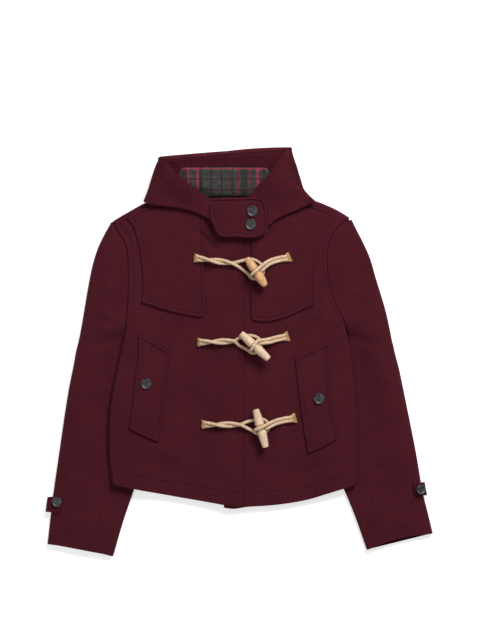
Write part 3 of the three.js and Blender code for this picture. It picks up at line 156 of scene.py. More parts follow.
UPPER_CREASES = [
    # Neck and chest, where the hood's weight pushes the right front down
    Crease([(-84, 231), (-56, 213), (-43, 198), (-18, 183)], 4.6, -3.6, 0.35),
    Crease([(-94, 218), (-62, 196), (-36, 172)], 9, 1.3),
    Crease([(-32, 201), (-12, 199.5), (9, 199)], 2.4, -1.0),
    Crease([(-93, 262), (-92, 236), (-94, 210)], 4, -1.2, -0.3),
    Crease([(-140, 240), (-120, 192), (-114, 136)], 15, -1.3),
    Crease([(-152, 226), (-140, 180), (-148, 130)], 13, 0.9),
    Crease([(92, 240), (104, 190), (94, 128)], 15, -1.1),
    Crease([(126, 236), (134, 180), (124, 120)], 13, 0.8),
    Crease([(48, 196), (62, 214), (84, 226)], 7, -1.0),
    # Wearer's right sleeve
    Crease([(-214, 186), (-217, 126), (-213, 84), (-205, 54)], 15, -3.4, 0.2),
    Crease([(-212, 42), (-229, 0), (-239, -60), (-238, -118)], 15, -2.3, 0.2),
    Crease([(-244, 70), (-256, -10), (-266, -90), (-272, -144)], 20, 2.4),
    Crease([(-236, 200), (-247, 150), (-250, 112)], 13, -1.3),
    Crease([(-206, 52), (-230, 84), (-250, 126)], 7.5, -2.0, 0.3),
    Crease([(-207, 46), (-238, 56), (-272, 58)], 7, -1.6, -0.2),
    Crease([(-209, 38), (-242, 18), (-278, 8)], 8, -1.4),
    Crease([(-290, -86), (-254, -102), (-218, -130)], 9, -1.6, 0.3),
    Crease([(-302, -146), (-264, -154), (-226, -178)], 8, -1.3),
    Crease([(-310, -212), (-272, -226), (-234, -232)], 11, -1.7, 0.2),
    Crease([(-324, -286), (-292, -300), (-262, -294)], 8, -1.0),
    # Wearer's left sleeve
    Crease([(214, 196), (228, 142), (223, 92), (210, 58)], 16, -3.6, -0.2),
    Crease([(217, 44), (229, 0), (227, -60), (230, -116)], 15, -2.3, -0.2),
    Crease([(248, 76), (268, 0), (280, -80), (288, -144)], 20, 2.4),
    Crease([(209, 54), (234, 86), (254, 126)], 7.5, -2.0, -0.3),
    Crease([(211, 47), (244, 46), (278, 60)], 7, -1.5),
    Crease([(214, 36), (248, 16), (284, 16)], 8, -1.3),
    Crease([(296, -56), (264, -82), (232, -100)], 9, -1.6, -0.3),
    Crease([(308, -126), (272, -142), (236, -150)], 9, -1.3),
    Crease([(322, -202), (286, -216), (248, -228)], 10, -1.6),
    Crease([(340, -278), (310, -292), (280, -300)], 8, -0.9),
    # Fronts, from the yokes down to the hem
    Crease([(-158, 54), (-106, 44), (-52, 50)], 11, -1.4),
    Crease([(-26, 60), (-30, 6), (-38, -44)], 15, -1.7),
    Crease([(-214, 24), (-196, -40), (-206, -112)], 13, -1.5),
    Crease([(-112, -54), (-74, -90), (-44, -142)], 17, -1.4),
    Crease([(-92, -20), (-58, -60), (-34, -96)], 15, 1.0),
    Crease([(-198, -178), (-142, -174), (-84, -192)], 17, 1.4),
    Crease([(-196, -208), (-150, -205), (-92, -224)], 11, -2.1, 0.3),
    Crease([(-84, -214), (-40, -232), (0, -230)], 14, -1.0),
    Crease([(56, 42), (98, 30), (150, 46)], 11, -1.3),
    Crease([(72, -52), (98, -98), (92, -152)], 17, -1.5),
    Crease([(54, -30), (74, -76), (66, -120)], 13, 1.0),
    Crease([(206, 16), (196, -50), (208, -122)], 12, -1.4),
    Crease([(84, -234), (140, -216), (204, -196)], 11, -1.9, -0.3),
    Crease([(56, -186), (108, -184), (168, -172)], 16, 1.2),
    # Short pulls beside the sewn ends of the cords
    Crease([(-76, 172), (-96, 166), (-116, 164)], 5.5, -0.9),
    Crease([(-70, 18), (-90, 12), (-108, 10)], 5.5, -0.8),
    Crease([(-62, -134), (-82, -142), (-100, -148)], 5.5, -0.9),
    Crease([(106, 176), (124, 184), (142, 188)], 5.5, -0.8),
    Crease([(102, 30), (118, 36), (136, 38)], 5.5, -0.8),
    Crease([(115, -121), (128, -118), (140, -119)], 5, -0.7),
    # Hood
    Crease([(-150, 298), (-120, 286), (-82, 270)], 8, -1.5),
    Crease([(-140, 318), (-126, 308), (-104, 290)], 7, -1.1),
    Crease([(98, 350), (104, 322), (92, 300)], 8, -1.5),
    Crease([(122, 276), (94, 266), (66, 246)], 7, -1.2),
    Crease([(112, 308), (90, 296), (66, 280)], 8, 1.0),
]
# Creases on the hidden underside, which only rise from the surface that the coat lies on
UNDER_CREASES = [
    Crease([(-150, 160), (-70, 128), (30, 146)], 13, 1.5),
    Crease([(50, 214), (112, 160), (132, 96)], 11, 1.3),
    Crease([(-116, 40), (-84, -20), (-96, -84)], 12, 1.2),
    Crease([(-30, 20), (34, -12), (118, 6)], 14, 1.4),
    Crease([(-160, -156), (-56, -178), (40, -160)], 13, 1.5),
    Crease([(76, -84), (110, -140), (104, -196)], 12, 1.2),
    Crease([(-60, 236), (-16, 222), (30, 232)], 10, 1.1),
    Crease([(-240, 150), (-226, 110), (-238, 70)], 8, 1.0),
    Crease([(-300, -50), (-268, -66), (-240, -62)], 9, 1.2),
    Crease([(-312, -164), (-276, -180), (-246, -178)], 9, 1.1),
    Crease([(-322, -276), (-290, -290), (-262, -284)], 8, 1.0),
    Crease([(236, 150), (226, 108), (240, 66)], 8, 1.0),
    Crease([(304, -44), (270, -60), (242, -58)], 9, 1.2),
    Crease([(318, -158), (284, -172), (252, -170)], 9, 1.1),
    Crease([(338, -262), (308, -278), (280, -276)], 8, 1.0),
]
LAYER_LOW = 3
LAYER_HIGH = 12


def crease_height(x, y, creases):
    total = np.zeros(x.shape)
    for crease in creases:
        path = smooth_path([(px, py, 0) for px, py in crease.points], 14)
        signed, share = line_distance(x, y, path)
        width = crease.width * (1 + crease.lean * np.tanh(signed / crease.width))
        ends = soft(share / 0.35) * soft((1 - share) / 0.35)
        total += crease.depth * ends * np.exp(-((signed / width) ** 2))
    return total


def settle(co):
    """Points in metres, moved up or down by the creases.

    The lower layer takes the underside's creases and the upper layers the coat's own. Layers keep their
    order, and pieces that lie together move together.
    """
    x = co[:, 0] / MM - SHIFT[0]
    y = co[:, 1] / MM - SHIFT[1]
    z = co[:, 2] / MM
    upper = soft((z - LAYER_LOW) / (LAYER_HIGH - LAYER_LOW))
    rise = mix(crease_height(x, y, UNDER_CREASES), crease_height(x, y, UPPER_CREASES), upper)
    moved = co.copy()
    moved[:, 2] = np.maximum(0.0, z + rise) * MM
    return moved


def coordinates(mesh):
    co = np.empty(len(mesh.vertices) * 3)
    mesh.vertices.foreach_get("co", co)
    return co.reshape(-1, 3)


def normals_of(mesh):
    normals = np.empty(len(mesh.vertices) * 3)
    mesh.vertices.foreach_get("normal", normals)
    return normals.reshape(-1, 3)


def set_coordinates(mesh, co):
    mesh.vertices.foreach_set("co", co.ravel())
    mesh.update()


def add_attribute(mesh, name, values):
    attribute = mesh.attributes.new(name, "FLOAT", "POINT")
    attribute.data.foreach_set("value", np.asarray(values, np.float32))


def add_object(name, mesh, material, slot, *nodes):
    """A finished piece of the coat: it rides on the coat's one body and stands for these nodes."""
    piece = bpy.data.objects.new(name, mesh)
    bpy.context.scene.collection.objects.link(piece)
    mesh.materials.append(material)
    for polygon in mesh.polygons:
        polygon.use_smooth = True
    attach(piece, "root")
    if nodes:
        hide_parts(*nodes)
    return piece


def mesh_from(name, vertices, faces):
    mesh = bpy.data.meshes.new(name)
    mesh.from_pydata([tuple(v) for v in vertices], [], faces)
    mesh.update()
    return mesh


# Materials


class Shader:
    """A Principled material with short calls for the nodes that feed it."""

    def __init__(self, name, roughness, specular=0.3):
        self.material = bpy.data.materials.new(name)
        self.material.use_nodes = True
        self.nodes = self.material.node_tree.nodes
        self.links = self.material.node_tree.links
        self.principled = self.nodes["Principled BSDF"]
        self.principled.inputs["Roughness"].default_value = roughness
        self.principled.inputs["Specular IOR Level"].default_value = specular
        self.place = self.nodes.new("ShaderNodeTexCoord").outputs["Object"]

    def feed(self, socket, value):
        if hasattr(value, "is_linked") or hasattr(value, "links"):
            self.links.new(value, socket)
        else:
            socket.default_value = value

    def math(self, operation, a, b=0.0, c=0.0):
        node = self.nodes.new("ShaderNodeMath")
        node.operation = operation
        for socket, value in zip(node.inputs, (a, b, c)):
            self.feed(socket, value)
        return node.outputs[0]

    def scaled(self, factors, place=None):
        node = self.nodes.new("ShaderNodeVectorMath")
        node.operation = "MULTIPLY"
        self.links.new(place or self.place, node.inputs[0])
        node.inputs[1].default_value = factors
        return node.outputs[0]

    def noise(self, scale, detail=3.0, roughness=0.55, place=None):
        node = self.nodes.new("ShaderNodeTexNoise")
        self.links.new(place or self.place, node.inputs["Vector"])
        node.inputs["Scale"].default_value = scale
        node.inputs["Detail"].default_value = detail
        node.inputs["Roughness"].default_value = roughness
        return node.outputs["Fac"]

    def ramp(self, value, low, high, to_low=0.0, to_high=1.0):
        node = self.nodes.new("ShaderNodeMapRange")
        node.interpolation_type = "SMOOTHSTEP"
        for name, number in (("Value", value), ("From Min", low), ("From Max", high)):
            self.feed(node.inputs[name], number)
        node.inputs["To Min"].default_value = to_low
        node.inputs["To Max"].default_value = to_high
        return node.outputs[0]

    def colour(self, factor, a, b, blend="MIX"):
        node = self.nodes.new("ShaderNodeMix")
        node.data_type = "RGBA"
        node.blend_type = blend
        self.feed(node.inputs["Factor"], factor)
        self.feed(node.inputs[6], a)
        self.feed(node.inputs[7], b)
        return node.outputs[2]

    def attribute(self, name):
        node = self.nodes.new("ShaderNodeAttribute")
        node.attribute_name = name
        return node.outputs["Fac"]

    def part(self, axis, place=None):
        node = self.nodes.new("ShaderNodeSeparateXYZ")
        self.links.new(place or self.place, node.inputs[0])
        return node.outputs[axis]

    def joined(self, x, y, z=0.0):
        node = self.nodes.new("ShaderNodeCombineXYZ")
        for socket, value in zip(node.inputs, (x, y, z)):
            self.feed(socket, value)
        return node.outputs[0]

    def base(self, colour):
        self.links.new(colour, self.principled.inputs["Base Color"])

    def bump(self, height, strength, depth):
        node = self.nodes.new("ShaderNodeBump")
        node.inputs["Strength"].default_value = strength
        node.inputs["Distance"].default_value = depth * MM
        self.links.new(height, node.inputs["Height"])
        self.links.new(node.outputs[0], self.principled.inputs["Normal"])

    def sheen(self, weight, roughness, tint):
        self.principled.inputs["Sheen Weight"].default_value = weight
        self.principled.inputs["Sheen Roughness"].default_value = roughness
        self.principled.inputs["Sheen Tint"].default_value = tint


def srgb(red, green, blue):
    """A linear colour from its 0 to 255 display values."""
    linear = lambda v: v / 12.92 if v <= 0.04045 else ((v + 0.055) / 1.055) ** 2.4
    return (*(linear(v / 255) for v in (red, green, blue)), 1.0)


def wool(name, dark, light):
    """Brushed coat wool: blotches, fine mottling, short nap, and painted shade in the furrows along the stitching and
    the pressed lines.
    """
    shader = Shader(name, roughness=0.95, specular=0.06)
    blotch = shader.noise(22, detail=3)
    mottle = shader.noise(430, detail=5, roughness=0.7)
    nap = shader.noise(1, detail=3, roughness=0.6, place=shader.scaled((1900, 700, 1900)))
    speck = shader.noise(760, detail=2)
    value = shader.math("ADD", shader.math("MULTIPLY", blotch, 0.22), shader.math("MULTIPLY", mottle, 0.75))
    value = shader.math("ADD", value, shader.math("MULTIPLY", nap, 0.35))
    tone = shader.ramp(value, 0.38, 0.94)
    cloth = shader.colour(tone, dark, light)
    lint = shader.ramp(speck, 0.72, 0.8, 0.0, 0.2)
    cloth = shader.colour(lint, cloth, srgb(120, 62, 74))
    # Painted shade: the cloth is darkened along the stitched and pressed furrows, where shade falls in the groove; the
    # same mask dents the bump.
    seam = shader.math("ABSOLUTE", shader.attribute("seam"))
    shaded_furrow = shader.ramp(seam, 0.2, 2.4, 1.0, 0.0)
    cloth = shader.colour(shader.math("MULTIPLY", shaded_furrow, 0.28), cloth, srgb(30, 8, 12))
    shader.base(cloth)
    shader.sheen(0.1, 0.6, srgb(214, 120, 138))
    height = shader.math("ADD", shader.math("MULTIPLY", mottle, 0.8), shader.math("MULTIPLY", nap, 0.5))
    height = shader.math("SUBTRACT", height, shader.math("MULTIPLY", shaded_furrow, 0.6))
    shader.bump(height, 0.6, 0.7)
    return shader.material


Stripe = namedtuple("Stripe", "at width colour strength")
GROUND = srgb(66, 70, 68)
GROUND_DARK = srgb(34, 32, 36)
WINE_LINE = srgb(74, 22, 36)
PINK = srgb(206, 52, 92)
ROSE = srgb(150, 34, 60)
STRIPES_UP = [
    Stripe(-92, 13, WINE_LINE, 0.75),
    Stripe(-86, 2.2, PINK, 0.9),
    Stripe(-68.5, 3.4, PINK, 1.0),
    Stripe(-62, 5, GROUND_DARK, 0.7),
    Stripe(-43, 2.6, WINE_LINE, 0.9),
    Stripe(-24, 2.8, WINE_LINE, 0.9),
    Stripe(-4, 2.6, WINE_LINE, 0.9),
    Stripe(7.5, 3.2, ROSE, 1.0),
    Stripe(17.5, 12, GROUND_DARK, 0.55),
    Stripe(28, 2.4, ROSE, 0.95),
    Stripe(43, 4.2, PINK, 0.95),
    Stripe(54, 6, WINE_LINE, 0.6),
]
STRIPES_ACROSS = [
    Stripe(339, 1.8, PINK, 0.7),
    Stripe(331, 8, GROUND_DARK, 0.35),
    Stripe(320.5, 2.4, WINE_LINE, 0.85),
    Stripe(301, 2.4, WINE_LINE, 0.85),
    Stripe(292, 6, GROUND_DARK, 0.5),
]
THREAD_PITCH = 1.15


def check_cloth(name):
    """Twill woven check."""
    shader = Shader(name, roughness=0.85, specular=0.2)
    wander = shader.math("MULTIPLY", shader.math("SUBTRACT", shader.noise(38), 0.5), 3.0)
    across = shader.math("SUBTRACT", shader.math("MULTIPLY", shader.part(0), 1 / MM), SHIFT[0])
    up = shader.math("SUBTRACT", shader.math("MULTIPLY", shader.part(1), 1 / MM), SHIFT[1])
    across = shader.math("ADD", across, wander)
    up = shader.math("ADD", up, shader.math("MULTIPLY", wander, 0.5))
    turn = 2 * math.pi / THREAD_PITCH
    twill = shader.math("SINE", shader.math("MULTIPLY", shader.math("ADD", across, up), turn))
    counter = shader.math("SINE", shader.math("MULTIPLY", shader.math("SUBTRACT", across, up), turn))
    fuzz = shader.noise(900, detail=3)
    cloth = shader.colour(shader.ramp(shader.noise(120, detail=4), 0.35, 0.7), GROUND, srgb(84, 88, 84))
    for stripes, where, weave in ((STRIPES_UP, across, twill), (STRIPES_ACROSS, up, counter)):
        shows = shader.ramp(weave, -0.6, 0.6, 0.62, 1.0)
        for stripe in stripes:
            away = shader.math("ABSOLUTE", shader.math("SUBTRACT", where, float(stripe.at)))
            inside = shader.ramp(away, stripe.width / 2 - 0.4, stripe.width / 2 + 0.7, stripe.strength, 0.0)
            cloth = shader.colour(shader.math("MULTIPLY", inside, shows), cloth, stripe.colour)
    cloth = shader.colour(shader.ramp(fuzz, 0.3, 0.75, 0.0, 0.3), cloth, srgb(28, 26, 28))
    shader.base(cloth)
    shader.sheen(0.25, 0.5, srgb(190, 180, 190))
    height = shader.math("ADD", shader.math("MULTIPLY", twill, 0.3), shader.math("MULTIPLY", fuzz, 0.9))
    shader.bump(height, 0.6, 0.5)
    return shader.material


def satin(name):
    """Black woven cloth below the neck facing: partly a black patch, partly painted shade under the throat tab."""
    shader = Shader(name, roughness=0.55, specular=0.4)
    ribs = shader.math("SINE", shader.math("MULTIPLY", shader.part(1), 2 * math.pi / (0.7 * MM)))
    cloth = shader.colour(shader.ramp(shader.noise(300), 0.3, 0.7), srgb(12, 12, 14), srgb(30, 30, 34))
    shader.base(cloth)
    shader.bump(ribs, 0.4, 0.2)
    return shader.material


def horn(name):
    """Moulded buttons with a streaked, polished face."""
    shader = Shader(name, roughness=0.42, specular=0.4)
    streaks = shader.noise(1, detail=4, place=shader.scaled((160, 620, 300)))
    cloud = shader.noise(210, detail=3)
    tone = shader.ramp(shader.math("ADD", streaks, shader.math("MULTIPLY", cloud, 0.5)), 0.55, 1.0)
    shader.base(shader.colour(tone, srgb(22, 21, 25), srgb(74, 74, 80)))
    shader.principled.inputs["Coat Weight"].default_value = 0.2
    shader.principled.inputs["Coat Roughness"].default_value = 0.35
    shader.bump(shader.noise(520), 0.12, 0.3)
    return shader.material


def wood(name, dark, light, pore):
    """Sanded wood with its grain along local X."""
    shader = Shader(name, roughness=0.5, specular=0.35)
    warped = shader.noise(60, detail=2, place=shader.scaled((0.5, 1, 1)))
    grain = shader.noise(1, detail=5, roughness=0.65, place=shader.scaled((38, 620, 620)))
    rings = shader.math("SINE", shader.math("MULTIPLY", shader.math("ADD", shader.part(2), shader.math(
        "MULTIPLY", warped, 0.012)), 1900.0))
    value = shader.math("ADD", shader.math("MULTIPLY", grain, 0.8), shader.math("MULTIPLY", rings, 0.09))
    body = shader.colour(shader.ramp(value, 0.2, 0.62), dark, light)
    pores = shader.noise(1, detail=2, place=shader.scaled((150, 2600, 2600)))
    body = shader.colour(shader.ramp(pores, 0.64, 0.76, 0.0, 0.55), body, pore)
    shader.base(body)
    shader.bump(shader.math("SUBTRACT", grain, shader.ramp(pores, 0.64, 0.76)), 0.25, 0.35)
    return shader.material


def rope_fibre(name, dark, light):
    """Twisted jute: fibres run along the strands, from the mesh's own along and around values."""
    shader = Shader(name, roughness=0.88, specular=0.15)
    along = shader.attribute("along")
    around = shader.attribute("around")
    fibre_place = shader.joined(shader.math("MULTIPLY", along, 0.22), shader.math("MULTIPLY", around, 7.0))
    fibre = shader.noise(1, detail=5, roughness=0.7, place=fibre_place)
    patch = shader.noise(110, detail=3)
    value = shader.math("ADD", shader.math("MULTIPLY", fibre, 0.8), shader.math("MULTIPLY", patch, 0.35))
    body = shader.colour(shader.ramp(value, 0.36, 0.72), dark, light)
    # Painted shade: the grooves between the strands are darkened, where shade falls.
    valley_shade = shader.attribute("valley_shade")
    body = shader.colour(shader.math("MULTIPLY", valley_shade, 0.8), body, srgb(118, 80, 48))
    shader.base(body)
    shader.sheen(0.2, 0.4, srgb(255, 236, 206))
    shader.bump(fibre, 0.8, 0.5)
    return shader.material


def plain_thread(name, dark, light):
    shader = Shader(name, roughness=0.7, specular=0.3)
    shader.base(shader.colour(shader.ramp(shader.noise(1600, detail=2), 0.3, 0.7), dark, light))
    shader.bump(shader.noise(3200), 0.5, 0.1)
    return shader.material


FLOOR_GLOW = 0.5  # the paper is lit from below as well, so the coat throws almost no shadow on it


def floor_paper(name):
    shader = Shader(name, roughness=0.9, specular=0.1)
    shader.base(shader.colour(shader.noise(3), (0.93, 0.93, 0.93, 1), (0.96, 0.96, 0.96, 1)))
    shader.principled.inputs["Emission Color"].default_value = (1, 1, 1, 1)
    shader.principled.inputs["Emission Strength"].default_value = FLOOR_GLOW
    shader.bump(shader.noise(420), 0.05, 0.2)
    return shader.material


WOOL = wool("coat_wool", srgb(55, 15, 23), srgb(80, 28, 38))
CHECK = check_cloth("neck_check")
SATIN_AND_SHADE = satin("black_satin_and_shade")
HORN = horn("dark_horn")
TAN_WOOD = wood("tan_wood", srgb(196, 144, 96), srgb(226, 182, 134), srgb(146, 94, 54))
PALE_WOOD = wood("pale_wood", srgb(208, 176, 144), srgb(234, 206, 178), srgb(172, 134, 100))
JUTE = rope_fibre("jute", srgb(196, 158, 120), srgb(238, 212, 182))
JUTE_END = rope_fibre("jute_ends", srgb(150, 108, 68), srgb(214, 174, 128))
THREAD = plain_thread("wine_thread", srgb(70, 22, 32), srgb(106, 42, 54))
TAN_THREAD = plain_thread("tan_thread", srgb(170, 128, 76), srgb(214, 176, 120))
DARK_THREAD = plain_thread("dark_thread", srgb(24, 20, 24), srgb(52, 44, 50))

# Cloth shells

SHARP_ANGLE = math.radians(58)


def welded(node):
    """The node's mesh with its split corners joined and its triangles paired up again."""
    made = bmesh.new()
    made.from_mesh(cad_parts[node].data)
    bmesh.ops.remove_doubles(made, verts=made.verts, dist=2e-6)
    bmesh.ops.join_triangles(
        made,
        faces=made.faces,
        angle_face_threshold=math.radians(50),
        angle_shape_threshold=math.radians(60),
    )
    return made


# The cage is moved until its smoothed mesh passes through the node's own corners
CAGE_ROUNDS = 3
CAGE_SHARE = 0.85


def evaluated_copy(holder):
    holder.data.update()
    bpy.context.view_layer.update()
    return bpy.data.meshes.new_from_object(holder.evaluated_get(bpy.context.evaluated_depsgraph_get()))


def subdivided(node, level):
    """A finer mesh on the node's form, with its cut edges kept crisp."""
    made = welded(node)
    crease = made.edges.layers.float.new("crease_edge")
    for edge in made.edges:
        if len(edge.link_faces) == 2 and edge.calc_face_angle(0) > SHARP_ANGLE:
            edge[crease] = 1.0
    coarse = bpy.data.meshes.new(node + "_coarse")
    made.to_mesh(coarse)
    made.free()
    holder = bpy.data.objects.new(node + "_coarse", coarse)
    bpy.context.scene.collection.objects.link(holder)
    modifier = holder.modifiers.new("subdivision", "SUBSURF")
    modifier.boundary_smooth = "PRESERVE_CORNERS"
    wanted = coordinates(coarse)
    for _ in range(CAGE_ROUNDS):
        modifier.levels = 2
        finer = coordinates(evaluated_copy(holder))[: len(wanted)]
        set_coordinates(coarse, coordinates(coarse) + CAGE_SHARE * (wanted - finer))
    modifier.levels = level
    fine = evaluated_copy(holder)
    bpy.data.objects.remove(holder)
    bpy.data.meshes.remove(coarse)
    fine.name = node
    return fine


def rim_points(mesh):
    """Plan positions along the mesh's cut edges."""
    made = bmesh.new()
    made.from_mesh(mesh)
    rim = {v.index for e in made.edges if len(e.link_faces) == 2 and e.calc_face_angle(0) > SHARP_ANGLE for v in e.verts}
    made.free()
    return rim


def rim_distance(mesh):
    """Each vertex's distance in mm from the nearest cut edge, in space."""
    co = coordinates(mesh) / MM
    rim = sorted(rim_points(mesh))
    tree = KDTree(len(rim))
    for n, index in enumerate(rim):
        tree.insert(co[index], n)
    tree.balance()
    return np.array([tree.find(p)[2] for p in co])


def refine(mesh, near):
    """Splits the faces whose middle is near a detail into four."""
    made = bmesh.new()
    made.from_mesh(mesh)
    made.faces.ensure_lookup_table()
    middles = np.array([f.calc_center_median() for f in made.faces])
    x, y = middles[:, 0] / MM - SHIFT[0], middles[:, 1] / MM - SHIFT[1]
    facing_up = np.array([f.normal.z > 0.4 for f in made.faces])
    chosen = near(x, y) & facing_up
    edges = {e for f, c in zip(made.faces, chosen) if c for e in f.edges}
    bmesh.ops.subdivide_edges(made, edges=list(edges), cuts=1, use_grid_fill=True)
    made.to_mesh(mesh)
    made.free()
    mesh.update()


# Topstitching, as paths in plan on each piece, and how far it lies from the nearest cut edge
FRONT_EDGE_X = 17
HEM_ROWS = [(-222, -246.5), (-138, -262), (-98, -269), (-59, -275.5), (-20, -282), (8, -285)]
HEM_ROWS_LEFT = [(24, -285.5), (91, -280.5), (149, -270), (182, -259), (220, -248)]
HEM_DEPTH = 24
FRONT_STITCH = 8.5
STITCH_PATHS = {
    "front_right": [
        [(FRONT_EDGE_X - FRONT_STITCH, y) for y in (226, 120, 0, -120, -262)],
        [(x, y + HEM_DEPTH) for x, y in HEM_ROWS],
        [(-208, 234), (-199, 218), (-191.5, 200), (-189, 186), (-188, 150), (-188.5, 100), (-193, 54)],
    ],
    "front_left": [
        [(x, y + HEM_DEPTH) for x, y in HEM_ROWS_LEFT],
        [(200, 240), (178, 222), (164, 194), (162.5, 165), (165.5, 132), (173.5, 102), (194, 56)],
    ],
    "sleeve_top_right": [
        [(-338, -330), (-300, -338), (-262, -346), (-226, -353)],
        [(-252, -352), (-250, -318), (-247, -286)],
    ],
    "sleeve_top_left": [
        [(357, -311), (320, -322), (284, -332), (246, -341)],
        [(262, -340), (258, -306), (252, -272)],
    ],
}
# Soft lines pressed in without stitches, which the wool darkens as painted shade: the rolled lip along the hood's crown
# edge
PRESSED_LINES = {
    "hood_right": [[(-139, 353), (-75, 357.5), (-15, 363)]],
    "hood_left": [[(-15, 363), (40, 367.5), (98, 371)]],
}
INSET = {
    "yoke_right": 6.5,
    "yoke_left": 6.5,
    "pocket_flap_right": 6,
    "pocket_flap_left": 6,
    "throat_tab": 6.5,
    "cuff_tab_right": 4.5,
    "cuff_tab_left": 4.5,
}
PUFF = 1.7
FURROW = 0.9
EDGE_ROUND = 0.8


def sew_down(mesh, inset=None, paths=()):
    """Presses the stitched furrows into a piece's upper face, rounds its cut edges and keeps the distances, from which
    the wool paints shade along the furrows.
    """
    co = coordinates(mesh)
    x, y = co[:, 0] / MM - SHIFT[0], co[:, 1] / MM - SHIFT[1]
    upward = normals_of(mesh)[:, 2]
    on_top = soft((upward - 0.45) / 0.3)
    from_rim = rim_distance(mesh)
    seam = np.full(len(co), 40.0)
    if inset is not None:
        seam = from_rim - inset
    for path in paths:
        signed, _ = line_distance(x, y, path)
        seam = np.where(np.abs(signed) < np.abs(seam), signed, seam)
    change = -FURROW * np.exp(-((seam / 1.9) ** 2))
    if inset is not None:
        change += PUFF * np.sin(np.pi * np.clip(from_rim / inset, 0, 1)) ** 2
    top_rim = np.clip(1 - from_rim / 1.6, 0, 1) ** 2
    change -= EDGE_ROUND * top_rim * (upward > 0.2)
    co[:, 2] += (change * np.maximum(on_top, (from_rim < 0.2) & (upward > 0.2))) * MM
    set_coordinates(mesh, co)
    add_attribute(mesh, "seam", np.where(on_top > 0.1, seam, 40.0))


def path_in_plan(points):
    return smooth_path([(px, py, 0) for px, py in points], max(14, 6 * len(points)))


SHARP_CREASE_WIDTH = 6
fine_creases = [c for c in UPPER_CREASES if c.width < SHARP_CREASE_WIDTH]


def near_detail(paths):
    def near(x, y):
        result = np.zeros(x.shape, bool)
        for path in paths:
            result |= np.abs(line_distance(x, y, path)[0]) < 5
        for crease in fine_creases:
            away = np.abs(line_distance(x, y, path_in_plan(crease.points))[0])
            result |= away < crease.width * 2.2
        return result

    return near


def cloth_piece(node, level=3, material=WOOL, slot="coat_cloth"):
    """A thin shell on the node's form, sewn, creased and settled."""
    mesh = subdivided(node, level)
    paths = [path_in_plan(p) for p in STITCH_PATHS.get(node, []) + PRESSED_LINES.get(node, [])]
    if node.startswith("front"):
        refine(mesh, near_detail(paths))
    sew_down(mesh, INSET.get(node), paths)
    set_coordinates(mesh, settle(coordinates(mesh)))
    mesh.set_sharp_from_angle(angle=math.radians(70))
    return add_object("cloth_" + node, mesh, material, slot, node)


pieces = {}
for name in ("front_right", "front_left"):
    pieces[name] = cloth_piece(name)
for name in ("back", "sleeve_under_right", "sleeve_under_left"):
    pieces[name] = cloth_piece(name, level=2)
for name in ("sleeve_top_right", "sleeve_top_left", "yoke_right", "yoke_left", "pocket_flap_right", "pocket_flap_left"):
    pieces[name] = cloth_piece(name)
for name in ("hood_right", "hood_left", "hood_crown", "throat_tab", "cuff_tab_right", "cuff_tab_left"):
    pieces[name] = cloth_piece(name)
pieces["neck_lining"] = cloth_piece("neck_lining", material=CHECK, slot="check_lining")
# The black patch below the neck facing stands partly for painted shade under the throat tab.
pieces["neck_patch"] = cloth_piece("neck_patch", material=SATIN_AND_SHADE, slot="dark_patch")

# Seam allowances, pressed open behind the seams, and a black strip along the back's neck edge that is partly a black
# patch and partly painted shade under the throat tab

BAND_THICKNESS = 0.8
CLOTH = 2.5


def seam_band(name, points, width, material=WOOL, slot="coat_cloth"):
    """A flat strip along pattern points in mm, level across."""
    path = smooth_path(points, max(12, 3 * len(points)))
    vertices, faces = [], []
    for i, centre in enumerate(path):
        ahead = path[min(i + 1, len(path) - 1)] - path[max(i - 1, 0)]
        beside = Vector((-ahead.y, ahead.x, 0)).normalized() * width / 2
        down = Vector((0, 0, BAND_THICKNESS))
        for corner in (centre - beside, centre + beside, centre + beside - down, centre - beside - down):
            vertices.append(shifted(*corner))
    for i in range(len(path) - 1):
        for k in range(4):
            n = (k + 1) % 4
            faces.append([i * 4 + k, i * 4 + n, (i + 1) * 4 + n, (i + 1) * 4 + k])
    faces.append([0, 1, 2, 3][::-1])
    last = (len(path) - 1) * 4
    faces.append([last, last + 1, last + 2, last + 3])
    mesh = mesh_from(name, vertices, faces)
    set_coordinates(mesh, settle(coordinates(mesh)))
    add_attribute(mesh, "seam", [40.0] * len(vertices))
    return add_object(name, mesh, material, slot)


def tree_of(*nodes):
    """One search tree over the faces of several frame nodes."""
    vertices, faces = [], []
    for node in nodes:
        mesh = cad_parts[node].data
        start = len(vertices)
        vertices += [v.co.copy() for v in mesh.vertices]
        faces += [[start + i for i in p.vertices] for p in mesh.polygons]
    return BVHTree.FromPolygons(vertices, faces)


ARMHOLES = {
    "right": [(-224, 243), (-217, 227), (-206, 209), (-199, 192), (-196.5, 150), (-197, 100), (-201, 50), (-207, 20),
              (-213, -8)],
    "left": [(211, 248), (187, 228), (173, 196), (171, 165), (174, 132), (182, 100), (203, 53), (209, 22), (214, -8)],
}
ALLOWANCE = 15
LOWEST_BAND = 4.2


def armhole_band(side):
    tree = tree_of(f"front_{side}", f"sleeve_top_{side}")
    points = []
    for x, y in ARMHOLES[side]:
        hits = [tree.ray_cast(shifted(x + dx, y, 200), Vector((0, 0, -1)))[0] for dx in (-7, 0, 7)]
        low = min(hit.z / MM for hit in hits if hit)
        points.append((x, y, max(LOWEST_BAND, low - CLOTH - 0.9)))
    return seam_band(f"armhole_allowance_{side}", points, ALLOWANCE)


for side in ARMHOLES:
    armhole_band(side)
HOOD_SEAM = [(-15, 308, 8.2), (-15, 330, 18.2), (-15, 351, 27.2), (-15, 362, 32.2), (-15, 366, 31.8), (-15, 369, 29)]
seam_band("hood_allowance", HOOD_SEAM, 9)
# Painted shade in part: black cloth where the neck edge lies in shade under the throat tab.
seam_band("neck_strip_and_shade", [(-68, 288, 2.2), (-12, 289, 2.2), (46, 288, 2.2)], 16, SATIN_AND_SHADE, "dark_patch")

# Cords, loops and toggles

